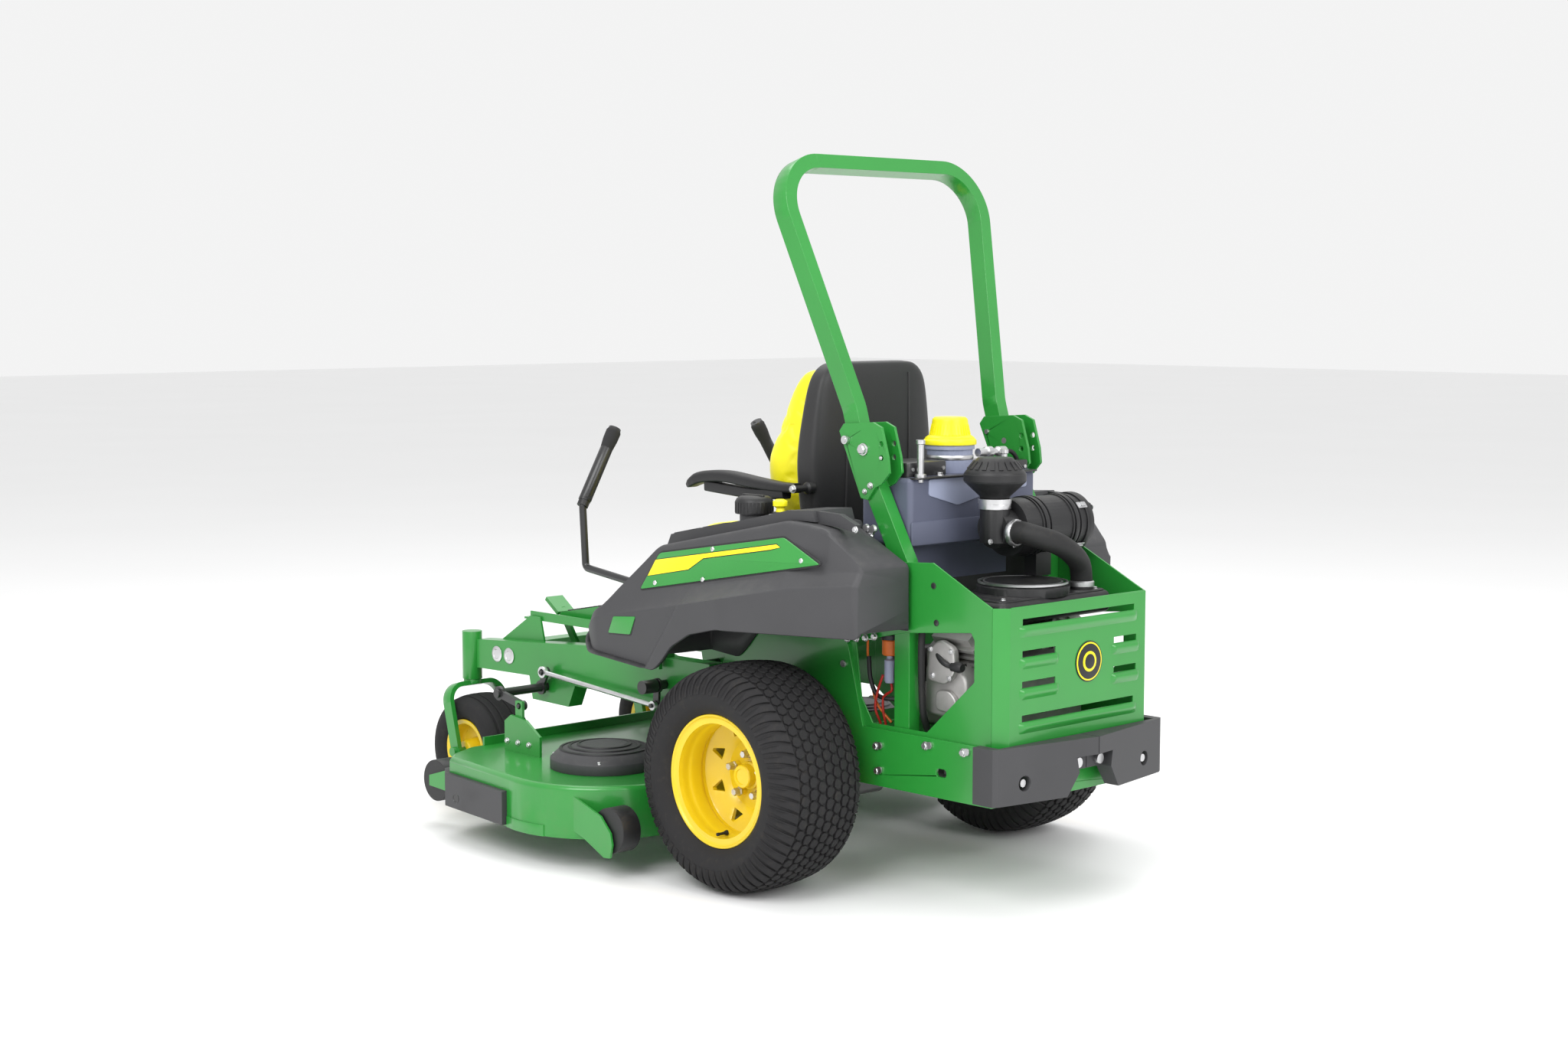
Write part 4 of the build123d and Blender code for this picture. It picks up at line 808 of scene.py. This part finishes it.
class MOWER_OT_seat(bpy.types.Operator):
    """Padded seat and back cushions, the back shell and the armrests"""

    bl_idname = "mower.seat"
    bl_label = "Seat"

    def execute(self, context):
        puff = context.scene.mower_sizes.puff
        base = Skin("seat_yellow")
        levels = [(797, 196, -600, -160), (799, 218, -624, -156), (806, 229, -632, -152),
            (830, 234, -635, -150), (855, 233, -632, -150), (867, 221, -618, -156),
            (871, 196, -594, -170)]
        base.grid(pillow(levels), wrap_v=True, cap_u=True)
        made = base.piece("seat_pad", "seat", "seat_yellow", ["seat_cushion"], None)
        swell(made, puff)
        finish_padding(made)
        base = Skin("seat_yellow")
        levels = [(890, 150, -230, -110), (893, 184, -252, -100), (930, 200, -268, -98),
            (1010, 214, -286, -92), (1085, 218, -288, -90), (1160, 212, -258, -88),
            (1240, 200, -222, -86), (1290, 190, -196, -84), (1320, 174, -176, -86),
            (1333, 150, -160, -96)]
        base.grid(pillow(spline(levels, 34)), wrap_v=True, cap_u=True)
        made = base.piece("back_pad", "seat", "seat_yellow", ["back_cushion"], None)
        swell(made, puff)
        finish_padding(made)
        shell = Skin("seat_black", "black_plastic", "steel")
        levels = [(800, 150, -100, -62), (806, 190, -112, -52), (830, 208, -120, -46), (930, 219, -132, -42),
            (1040, 229, -138, -38), (1120, 230, -136, -36), (1220, 218, -126, -36),
            (1290, 204, -118, -36), (1325, 186, -112, -38), (1345, 158, -104, -44), (1351, 120, -96, -54)]
        shell.grid(pillow(spline(levels, 40), power=4.5), wrap_v=True, cap_u=True, finish=0)
        for x in (-120, 120):
            rise = np.linspace(840, 1320, 20)
            behind = np.interp(rise, [800, 930, 1120, 1325], [-45.5, -40.5, -35.0, -37.2])
            seam = np.stack([x + 0 * rise, behind, rise], 1)
            sweep(shell, seam, circle(2.6, 8), 0, (1, 0, 0))
        pan = rounded([(-196, -598), (196, -598), (214, -500), (214, -96), (-214, -96), (-214, -500)], 30)
        slab(shell, pan, "z", 777, 796, 5, 1)
        for hand in (-1, 1):
            pivot = (hand * 240, -62, 1020)
            lathe(shell, np.array([(-16, 16), (4, 16), (7, 13), (9, 9), (58, 8), (58, 0)]) * (hand, 1),
                pivot, "x", 24, 1)
            bolt(shell, (hand * 294, -62, 1020), "x", 9, hand, 2)
        shell.piece("seat_back_shell", "seat", "black_plastic", ["seat_shell"], 30.0)
        for side, hand in (("left", 1), ("right", -1)):
            arm = Skin("black_plastic")
            path = spline([(272, -500, 1006), (272, -440, 1030), (272, -340, 1037), (272, -230, 1027),
                (272, -130, 1020), (272, -70, 1020)], 44)
            wide = np.interp(np.arange(44), [0, 2, 6, 24, 34, 43], [0.5, 0.8, 1.0, 1.0, 0.86, 0.8])
            section = rounded([(-22, -15), (22, -15), (24, 8), (14, 17), (-14, 17), (-24, 8)], 9, 5)
            sweep(arm, path * (hand, 1, 1), section, 0, (0, 0, 1), wide)
            under = spline([(272, -420, 1010), (272, -330, 1004), (272, -220, 999), (272, -110, 1006)], 20)
            sweep(arm, under * (hand, 1, 1), rounded([(-15, -16), (15, -16), (18, 12), (-18, 12)], 6, 4), 0)
            arm.piece(f"armrest_pad_{side}", f"arm_{side}", "black_plastic", [f"armrest_{side}"], 40.0)
        return {"FINISHED"}


def finish_padding(made):
    """One subdivision over the simulated pad."""
    smooth = made.modifiers.new("smooth", "SUBSURF")
    smooth.levels = smooth.render_levels = 1


# ---------------------------------------------------------------- engine bay
def clip(skin, centre, turn, finish=0):
    """An over-centre latch lying on the canister: a plate and a raised hook, turned round its axis."""
    flat = Skin()
    slab(flat, rounded([(-18, -9), (18, -9), (18, 9), (-18, 9)], 3), "z", 0, 3, 0.8)
    slab(flat, rounded([(-9, -6), (9, -6), (9, 6), (-9, 6)], 2), "z", 3, 9, 1.5)
    points = np.concatenate(flat.points) + (0, 0, 76)
    cos, sin = math.cos(turn), math.sin(turn)
    spun = np.stack([points[:, 0], points[:, 1] * cos + points[:, 2] * sin,
        points[:, 2] * cos - points[:, 1] * sin], 1)
    return skin.join(flat, spun + np.asarray(centre, float), finish)


CANISTER = (0, 436, 935)
PRECLEANER = (61, 436, 0)


class MOWER_OT_engine(bpy.types.Operator):
    """Air cleaner details, the intake hose, the fuel filter, wires and castings of the engine bay"""

    bl_idname = "mower.engine"
    bl_label = "Engine bay"

    def execute(self, context):
        hose = Skin("rubber")
        path = spline([(50, 487, 928), (50, 520, 930), (38, 552, 922), (-20, 569, 903), (-80, 567, 876),
            (-132, 556, 842), (-150, 550, 800), (-150, 550, 771)], 120)
        ring = np.interp(np.arange(120), [0, 4, 8, 110, 114, 119], [1.06, 1.06, 1.0, 1.0, 1.06, 1.06])
        sweep(hose, path, circle(28.4, 32), 0, (1, 0, 0.2), ring)
        hose.piece("hose_skin", "chassis", "rubber", ["intake_hose"], 40.0)
        cleaner = Skin("black_plastic", "steel", "rubber")
        for x in (-196, -164, -76, -44):
            lathe(cleaner, [(x - 3, 73), (x - 2, 77.5), (x + 2, 77.5), (x + 3, 73)], CANISTER, "x", 64)
        cover = [(-245, 0), (-246.5, 20), (-246.5, 30), (-244.5, 34), (-246.5, 40), (-246.5, 62),
            (-242, 76), (-236, 78.3), (-228, 78.3)]
        lathe(cleaner, spline(cover, 40), CANISTER, "x", 64)
        for turn in (0.9, 2.4, -0.7):
            clip(cleaner, (-212, 436, 935), turn, 1)
        band = [(1000, 41.4), (1000, 43), (1012, 43), (1012, 41.4)]
        lathe(cleaner, band, PRECLEANER, "z", 48, 1)
        angle = np.linspace(0, 2 * math.pi, 20, endpoint=False)[:, None, None]
        wide = np.array([-0.085, 0.085, 0.085, -0.085])[None, None]
        low = np.array([0, 0, 1, 1])[None, None]
        rise = np.array([0, 2.2])[None, :, None]
        radius = 70 - low * 17 + rise
        height = 1088 + low * 20 + rise * 0.6
        swing = angle + wide * (1 - rise * 0.05)
        fins = np.stack([radius * np.cos(swing), radius * np.sin(swing), height + 0 * swing], -1)
        cleaner.stamp(fins + np.asarray(PRECLEANER), finish=0)
        lathe(cleaner, [(1055, 78), (1058, 80.3), (1074, 80.3), (1077, 78)], PRECLEANER, "z", 64)
        lathe(cleaner, [(0, 33), (4, 35), (14, 35), (17, 33)], (50, 488, 928), "y", 40, 1)
        lathe(cleaner, [(0, 30), (3, 33), (14, 33), (17, 30)], (-150, 550, 778), "z", 40, 1)
        for x, y, z in ((96, 452, 905), (24, 470, 893)):
            bolt(cleaner, (x, y, z), "y", 6, 1, 1)
        cleaner.piece("air_cleaner_details", "chassis", "black_plastic")
        bay = Skin("cast", "black_plastic", "neck", "cap", "red_wire", "orange_wire", "rubber", "steel")
        filter_at = (262, 262, 0)
        lathe(bay, [(538, 0), (540, 12), (546, 15), (598, 15), (603, 9), (614, 8), (614, 0)], filter_at,
            "z", 28, 2)
        lathe(bay, [(612, 0), (612, 21), (616, 24), (650, 24), (656, 19), (656, 0)], (262, 266, 0), "z", 28,
            5)
        lathe(bay, [(653, 0), (653, 27), (664, 27), (668, 20), (668, 0)], (262, 266, 0), "z", 28, 1)
        wires = (
            (4, 3.4, [(262, 266, 540), (266, 272, 522), (264, 250, 508), (262, 238, 496), (262, 238, 466),
            (256, 242, 428)]),
            (4, 3.4, [(276, 250, 560), (272, 228, 515), (268, 216, 470), (256, 224, 428)]),
            (5, 3.4, [(258, 178, 640), (262, 184, 590), (262, 200, 520), (260, 216, 478), (256, 262, 436)]),
            (1, 6.0, [(262, 186, 600), (266, 196, 545), (262, 214, 505), (255, 250, 496), (230, 290, 500)]),
            (1, 8.0, [(180, 400, 645), (235, 406, 634), (252, 430, 616), (248, 456, 604), (205, 468, 598)]),
            (6, 9.0, [(262, 374, 700), (268, 376, 640), (264, 374, 560), (256, 372, 480), (236, 368, 430)]),
            (6, 7.0, [(266, 292, 690), (262, 290, 630), (266, 288, 560), (256, 290, 470), (232, 292, 430)]),
        )
        for finish, radius, points in wires:
            sweep(bay, spline(points, 60), circle(radius, 14), finish, (1, 0.05, 0))
        lathe(bay, [(0, 0), (0, 12), (26, 14), (34, 10), (34, 0)], (246, 462, 602), "y", 20, 1)
        blocks = (
            ([(352, 470), (470, 462), (498, 510), (500, 560), (468, 612), (400, 622), (356, 600)], 150, 232,
            10),
            ([(380, 560), (440, 552), (476, 588), (470, 650), (420, 668), (384, 640)], 230, 252, 6),
            ([(402, 486), (462, 480), (478, 512), (450, 540), (404, 536)], 230, 246, 5),
        )
        for outline, low_x, high_x, edge in blocks:
            slab(bay, rounded(outline, 16), "x", low_x, high_x, edge, 0, 5)
        for y, z in ((392, 640), (462, 640), (400, 574), (456, 572)):
            bolt(bay, (251, y, z), "x", 6, 1, 7)
        for level in range(6):
            slab(bay, rounded([(300, 486), (350, 486), (350, 540), (300, 540)], 8), "x", 168 + 12 * level,
                174 + 12 * level, 1.5)
        other = mirror_x(Skin(*bay.finishes), bay)
        bay.piece("engine_bay_left", "chassis", "cast")
        other.piece("engine_bay_right", "chassis", "cast")
        rocker = Skin("black_plastic", "steel")
        top = rounded([(-200, 372), (200, 372), (206, 590), (-206, 590)], 24)
        slab(rocker, top, "z", 766, 773, 4, 0)
        for x in np.linspace(-150, 150, 11):
            slab(rocker, rounded([(x - 7, 388), (x + 7, 388), (x + 7, 416), (x - 7, 416)], 3), "z", 772,
                775, 1, 0)
        screen = np.stack([np.linspace(30, 112, 7), np.linspace(34, 116, 7)], 1)
        for inner, outer in screen:
            lathe(rocker, [(796, inner), (801, inner), (801, outer), (796, outer)], (0, 480, 0), "z", 64, 1)
        for x, y in ((-180, 400), (180, 400), (-180, 570), (180, 570)):
            bolt(rocker, (x, y, 772), "z", 6, 1, 1)
        rocker.piece("shroud_details", "chassis", "black_plastic")
        return {"FINISHED"}


# ---------------------------------------------------------------- guard
SLOTS = ((-219, 219, 731), (93, 219, 652), (-229, -138, 652), (93, 219, 576), (-229, -138, 576),
    (-219, 219, 492))


class MOWER_OT_guard(bpy.types.Operator):
    """Louvre lips below the guard's slots, its badge, folded edges and screws"""

    bl_idname = "mower.guard"
    bl_label = "Engine guard"

    def execute(self, context):
        face = node_box("guard_panels")[1][1]
        skin = Skin("green", "decal_yellow", "black_plastic", "black_metal", "steel")
        for low, high, z in SLOTS:
            across = np.linspace(low - 14, high + 14, 40)
            ends = ease(across, low - 14, low + 2) * (1 - ease(across, high - 2, high + 14))
            part = np.linspace(0, 1, 12)[:, None]
            out = face - 0.6 + ends[None] * 10 * np.sin(math.pi * part**0.8) * (1 - 0.25 * part)
            height = z - 8 - 30 * part + 0 * across[None]
            skin.grid(np.stack([across[None] + 0 * height, out, height], -1))
        angle = np.linspace(0, 2 * math.pi, 72, endpoint=False)
        for size, low, high, finish in ((52, 0, 2.0, 2), (49, 1.5, 3.0, 1), (45, 2.5, 3.6, 2),
            (26, 3, 4.6, 1), (19, 4, 5.2, 2)):
            ring = np.stack([609 + size * np.sin(angle), -36 + size * np.cos(angle)], 1)
            slab(skin, ring, "y", face + low, face + high, 0.4, finish)
        for hand in (-1, 1):
            for y, z in ((442, 808), (452, 716)):
                lathe(skin, [(0, 0), (0, 8), (1.6, 8), (2.4, 6), (2.4, 0)], (hand * 295, y, z), "x", 20, 3)
        roll = np.linspace((-262, face - 1.2, 769), (262, face - 1.2, 769), 8)
        sweep(skin, roll, circle(1.9, 10), 0, (0, 1, 0))
        skin.piece("guard_details", "chassis", "green")
        return {"FINISHED"}


# ---------------------------------------------------------------- tank
class MOWER_OT_tank(bpy.types.Operator):
    """Tank mouldings, bracket, vent fittings and the domed cap"""

    bl_idname = "mower.tank"
    bl_label = "Fuel tank"

    def execute(self, context):
        back = node_box("fuel_tank")[1][1]
        skin = Skin("tank", "neck", "black_metal", "steel", "rubber")
        raised = rounded([(1060, 176), (1060, -206), (1022, -206), (1014, -60), (988, 66), (1018, 176)], 8)
        slab(skin, raised, "y", back - 2, back + 3.2, 2, 1)
        band = rounded([(954, 240), (954, -240), (893, -240), (893, 240)], 8)
        slab(skin, band, "y", back - 2, back + 2.6, 2, 0)
        strap = rounded([(-236, 118), (236, 118), (236, 330), (-236, 330)], 12)
        slab(skin, strap, "z", 1062, 1066.5, 1, 2)
        for left, right, top in ((88, 234, 1104), (-234, -84, 1092)):
            box = rounded([(left, 168), (right, 168), (right, 296), (left, 296)], 9)
            slab(skin, box, "z", 1064, top, 4, 2)
            for x in (left + 16, right - 16):
                lathe(skin, np.array([(0, 0), (0, 5), (3, 5), (3, 0)]), (x, 296, top - 18), "y", 16, 3)
        for x, y in ((120, 300), (-170, 270), (-205, 200)):
            bolt(skin, (x, y, 1067), "z", 8, 1, 3)
        for x, y, tall in ((-118, 310, 58), (206, 312, 96)):
            lathe(skin, [(-12, 0), (-12, 8), (0, 8), (0, 15), (8, 15), (10, 9), (tall - 12, 9),
                (tall - 10, 12), (tall, 12), (tall, 0)], (x, y, 1066), "z", 24, 3)
        fitting = np.linspace((-62, 268, 1116), (-168, 268, 1116), 30)
        size = np.interp(np.arange(30), [0, 8, 9, 14, 15, 20, 21, 29], [1, 1, 1.35, 1.35, 0.8, 0.8, 1.2, 1.2])
        sweep(skin, fitting, circle(11, 20), 3, (0, 0, 1), size)
        vent = spline([(-160, 268, 1116), (-196, 270, 1112), (-218, 272, 1084), (-224, 284, 1020),
            (-222, 300, 960)], 60)
        sweep(skin, vent, circle(6, 12), 4, (0, 1, 0.1))
        lathe(skin, [(0, 61), (3, 62.5), (9, 62.5), (12, 61)], (0, 225, 1100), "z", 64, 3)
        skin.piece("tank_details", "chassis", "tank")
        low, high = node_box("fuel_cap")
        middle = ((low[0] + high[0]) / 2, (low[1] + high[1]) / 2, low[2])
        tall = high[2] - low[2]
        cap = Skin("cap")
        profile = [(0, 66), (0, 69.5), (10, 69.5), (14, 66), (20, 58), (28, 52.5), (tall - 16, 47),
            (tall - 5, 43), (tall - 0.8, 36), (tall - 0.4, 20), (tall - 0.4, 0)]
        lathe(cap, spline(profile, 44)[:-1], middle, "z", 72)
        lathe(cap, [(tall - 0.5, 0.5), (tall - 0.4, 12)], middle, "z", 24)
        cap.stamp(ribs(36, 0.045, 53, 6, (-1.0, 1.6), 26, tall - 44) + np.asarray(middle))
        cap.piece("cap_skin", "cap", "cap")
        return {"FINISHED"}


# ---------------------------------------------------------------- controls
CONSOLE_SLOPE = (955 - 893) / 310


def ribs(count, half, radius, taper, stand, foot, reach):
    """Upright ribs round a knob, by ring and corner: half is half of a rib's angle, its radius falls by
    taper towards the top and grows by stand, and it rises from foot by reach."""
    turn = np.linspace(0, 2 * math.pi, count, endpoint=False)[:, None, None]
    swing = turn + half * np.array([-1, 1, 1, -1])[None, None]
    top = np.array([0, 0, 1, 1])[None, None]
    out = radius - taper * top + np.array(stand)[None, :, None]
    rise = foot + top * reach + 0 * out * swing
    return np.stack([out * np.cos(swing), out * np.sin(swing), rise], -1)


class MOWER_OT_controls(bpy.types.Operator):
    """Foam lever grips, ridged knobs and the mouldings of the consoles"""

    bl_idname = "mower.controls"
    bl_label = "Controls"

    def execute(self, context):
        for side, hand in (("left", 1), ("right", -1)):
            grip = Skin("foam", "black_plastic", "steel")
            foot, head = np.array([400.5, -803.0, 948.0]), np.array([276.0, -815.0, 1150.0])
            along = np.linspace(0, 1, 60)
            path = foot + (head - foot) * along[:, None]
            size = np.interp(along, [0, 0.03, 0.08, 0.72, 0.84, 0.95, 0.985, 1.0],
                [0.8, 1.0, 0.97, 0.97, 1.14, 1.16, 0.95, 0.6])
            sweep(grip, path * (hand, 1, 1), circle(18.6, 36), 0, (0, 1, 0), size)
            collar = foot + (head - foot) * np.linspace(-0.06, 0.01, 8)[:, None]
            sweep(grip, collar * (hand, 1, 1), circle(16.5, 30), 1, (0, 1, 0))
            bolt(grip, (hand * 404, -549, 690), "y", 10, -1, 2)
            grip.piece(f"lever_grip_{side}", f"stick_{side}", "lever_black")
        low, high = node_box("dial_knob")
        centre = np.array([(low[0] + high[0]) / 2, (low[1] + high[1]) / 2, low[2]])
        tall = high[2] - low[2]
        dial = Skin("black_plastic")
        lathe(dial, [(0.4, 49.6), (4, 50.2), (tall - 16, 50.2), (tall - 8, 46), (tall - 3, 38),
            (tall - 1, 20), (tall - 0.5, 1)], centre, "z", 72)
        dial.stamp(ribs(30, 0.06, 49.6, 0, (-0.5, 1.4), 3, tall - 20) + centre)
        pointer = rounded([(-8, -40), (8, -40), (5, 36), (-5, 36)], 4)
        slab(dial, pointer + centre[:2], "z", centre[2] + tall - 6, centre[2] + tall + 1.6, 1.2)
        dial.piece("dial_ridges", "dial", "black_plastic")
        skin = Skin("grey_plastic", "black_plastic", "steel", "decal_yellow")
        for hand in (-1, 1):
            for y0, y1 in ((-352, -250), (-238, -150)):
                lift = 0.5 * (y0 + y1)
                top_z = float(np.interp(lift, [-350, -40, 100], [893, 955, 985]))
                pad = Skin()
                slab(pad, rounded([(338, y0), (462, y0), (462, y1), (338, y1)], 9), "z", 0, 4.5, 1.5)
                points = np.concatenate(pad.points)
                points[:, 2] += top_z - 1.5 + (points[:, 1] - lift) * CONSOLE_SLOPE
                points[:, 0] *= hand
                skin.join(pad, points, 0)
            bolt(skin, (hand * 458, 329, 951), "x", 7, hand, 2)
        skin.piece("console_details", "chassis", "grey_plastic")
        return {"FINISHED"}


# ---------------------------------------------------------------- fixings
RAIL_FACE = 303.2
RAIL_BOLTS = (
    (246, 662, 8), (214, 655, 8), (182, 650, 8), (150, 646, 8),
    (254, 380, 9), (425, 404, 9), (552, 404, 9), (257, 316, 8),
)


class MOWER_OT_fixings(bpy.types.Operator):
    """Bolt heads of the frame and hoop, hand nuts, front discs, foot pads and deck belt covers"""

    bl_idname = "mower.fixings"
    bl_label = "Fixings"

    def execute(self, context):
        skin = Skin("steel", "black_metal", "black_plastic", "green")
        for hand in (-1, 1):
            for y, z, size in RAIL_BOLTS:
                bolt(skin, (hand * RAIL_FACE, y, z), "x", size, hand, 0)
            for y, z, size in ((200, 1137, 13), (140, 1159, 9), (206, 1030, 6), (226, 1046, 7),
                (262, 1118, 4)):
                bolt(skin, (hand * 299, y, z), "x", size, hand, 0)
            knob = (hand * 304, 235, 931)
            lathe(skin, np.array([(0, 0), (0, 13), (8, 13), (8, 0)]) * (hand, 1), knob, "x", 24, 0)
            for turn in (0.5, 2.6, 4.7):
                spot = np.array(knob) + (0, 14 * math.cos(turn), 14 * math.sin(turn))
                lathe(skin, np.array([(0, 0), (0, 9), (6, 11), (12, 9), (13, 0)]) * (hand, 1), spot, "x",
                    20, 0)
            for x, y in ((367.4, -1262), (366.4, -1204)):
                disc = np.array([(0, 0), (0, 23), (3, 24), (5, 21), (5, 15), (3.5, 13), (3.5, 0)])
                lathe(skin, disc * (hand, 1), (hand * x, y, 460), "x", 40, 0)
        skin.piece("frame_bolts", "chassis", "steel")
        deck = Skin("black_plastic", "steel", "green", "black_metal")
        for hand in (-1, 1):
            centre = (hand * 500, -600, 233)
            for radius in (72, 96, 120):
                lathe(deck, [(0, radius - 5), (3.0, radius - 3), (3.0, radius + 3), (0, radius + 5)],
                    (centre[0], centre[1], 233 + float(np.interp(radius, [60, 125, 150], [64, 51, 28]))),
                    "z", 72, 0)
            for turn in range(4):
                angle = math.radians(45 + 90 * turn)
                spot = (centre[0] + 138 * math.cos(angle), centre[1] + 138 * math.sin(angle), 264)
                bolt(deck, spot, "z", 7, 1, 1)
            for y in (-965, -915, -865):
                bolt(deck, (hand * 557.2, y, 262), "x", 7, hand, 1)
        socket = np.array([(0, 0), (0, 15), (1.6, 15), (1.6, 11), (0.4, 10), (0.4, 0)])
        for hand in (-1, 1):
            lathe(deck, socket * (hand, 1), (hand * 802, -880, 143), "x", 24, 3)
        deck.piece("deck_bolts", "deck", "black_plastic")
        pads = Skin("black_plastic", "steel")
        for hand in (-1, 1):
            for row in np.linspace(-1040, -880, 9):
                z = float(np.interp(row, [-1061, -860], [598, 635]))
                bar = rounded([(hand * 172 - 100, row - 4), (hand * 172 + 100, row - 4),
                    (hand * 172 + 100, row + 4), (hand * 172 - 100, row + 4)], 2)
                slab(pads, bar, "z", z - 1, z + 3.4, 0.8, 0)
        for row in np.linspace(-820, -640, 7):
            bar = rounded([(-250, row - 5), (250, row - 5), (250, row + 5), (-250, row + 5)], 3)
            slab(pads, bar, "z", 575, 578.6, 0.8, 0)
        pads.piece("foot_pads", "chassis", "black_plastic")
        return {"FINISHED"}


# ---------------------------------------------------------------- CAD pieces that stay
MOST_BEVELLED = 20000


def soften_frame():
    """Gives each shown CAD node its finish, and rounds its sharp edges slightly so that they catch light."""
    for part in frame["record"]["subparts"]:
        made = frame["nodes"][part["node"]]
        made.data.materials.clear()
        made.data.materials.append(Finish.made[part["material_slot"]])
        if len(made.data.polygons) > MOST_BEVELLED:
            continue
        weld = made.modifiers.new("weld", "WELD")
        weld.merge_threshold = WELD
        bevel = made.modifiers.new("edges", "BEVEL")
        bevel.width = 0.0012
        bevel.segments = 2
        bevel.limit_method = "ANGLE"
        bevel.angle_limit = math.radians(38)
        bevel.harden_normals = True


class MOWER_OT_frame(bpy.types.Operator):
    """Finishes and softened edges of the CAD frame"""

    bl_idname = "mower.frame"
    bl_label = "Frame finishes"

    def execute(self, context):
        make_finishes(context.scene.mower_finishes)
        soften_frame()
        return {"FINISHED"}


# ---------------------------------------------------------------- stage
CAMERA_PLACE = (4.6989, 4.7883, 1.5153)
CAMERA_AIM = (0.4842, 0.38625, 0.9422)
CAMERA_LENS = 54.305
SENSOR_WIDTH = 36.0
LAMP_AIM = (0, 0, 0.7)
FLOOR_REACH = 40.0
LAMPS = (
    ("key", (5.5, 2.0, 5.0), 4.0, 300.0),
    ("rear", (0.5, 6.5, 4.0), 4.0, 215.0),
    ("over", (-1.0, -1.0, 6.0), 5.0, 190.0),
)


class MOWER_OT_stage(bpy.types.Operator):
    """Pale floor, soft studio light and the camera"""

    bl_idname = "mower.stage"
    bl_label = "Stage"

    def execute(self, context):
        scene = context.scene
        scene.view_settings.view_transform = "Standard"
        floor = Finish("floor", Roughness=0.6, Specular_IOR_Level=0.2)
        floor.set(Base_Color=floor.blend(floor.noise(0.6), (0.88, 0.88, 0.88), (0.91, 0.91, 0.91)))
        mesh = bpy.data.meshes.new("floor")
        corners = [(-1, -1, 0), (1, -1, 0), (1, 1, 0), (-1, 1, 0)]
        mesh.from_pydata(np.array(corners) * FLOOR_REACH, [], [(0, 1, 2, 3)])
        mesh.materials.append(floor.material)
        ground = bpy.data.objects.new("floor", mesh)
        scene.collection.objects.link(ground)
        world = bpy.data.worlds.new("studio")
        world.use_nodes = True
        world.node_tree.nodes["Background"].inputs["Color"].default_value = (1.0, 1.0, 1.0, 1)
        world.node_tree.nodes["Background"].inputs["Strength"].default_value = 0.9
        scene.world = world
        for name, place, size, power in LAMPS:
            light = bpy.data.lights.new(name, "AREA")
            light.size = size
            light.energy = power
            lamp = bpy.data.objects.new(name, light)
            lamp.location = place
            lamp.rotation_euler = (Vector(LAMP_AIM) - Vector(place)).to_track_quat("-Z", "Y").to_euler()
            scene.collection.objects.link(lamp)
        lens = bpy.data.cameras.new("camera")
        lens.lens = CAMERA_LENS
        lens.sensor_width = SENSOR_WIDTH
        camera = bpy.data.objects.new("camera", lens)
        camera.location = CAMERA_PLACE
        sight = Vector(CAMERA_AIM) - Vector(CAMERA_PLACE)
        camera.rotation_euler = sight.to_track_quat("-Z", "Y").to_euler()
        scene.collection.objects.link(camera)
        scene.camera = camera
        return {"FINISHED"}


# ---------------------------------------------------------------- panel and registration
STEPS = ("frame", "stage", "tyres", "rims", "fenders", "seat", "engine", "guard", "tank", "controls",
    "fixings")


class MOWER_PT_panel(bpy.types.Panel):
    """The mower's pieces and settings"""

    bl_idname = "MOWER_PT_panel"
    bl_label = "Zero Turn Mower"
    bl_space_type = "VIEW_3D"
    bl_region_type = "UI"
    bl_category = "Mower"

    def draw(self, context):
        for group in (context.scene.mower_finishes, context.scene.mower_sizes):
            for key in group.__annotations__:
                self.layout.prop(group, key)
        for step in STEPS:
            self.layout.operator(f"mower.{step}")


CLASSES = (
    MOWER_PG_finishes,
    MOWER_PG_sizes,
    MOWER_OT_frame,
    MOWER_OT_stage,
    MOWER_OT_tyres,
    MOWER_OT_rims,
    MOWER_OT_fenders,
    MOWER_OT_seat,
    MOWER_OT_engine,
    MOWER_OT_guard,
    MOWER_OT_tank,
    MOWER_OT_controls,
    MOWER_OT_fixings,
    MOWER_PT_panel,
)


def register():
    for made in CLASSES:
        bpy.utils.register_class(made)
    bpy.types.Scene.mower_finishes = bpy.props.PointerProperty(type=MOWER_PG_finishes)
    bpy.types.Scene.mower_sizes = bpy.props.PointerProperty(type=MOWER_PG_sizes)


def unregister():
    del bpy.types.Scene.mower_finishes
    del bpy.types.Scene.mower_sizes
    for made in reversed(CLASSES):
        bpy.utils.unregister_class(made)


def main():
    register()
    for step in STEPS:
        getattr(bpy.ops.mower, step)()


if __name__ == "__main__":
    main()
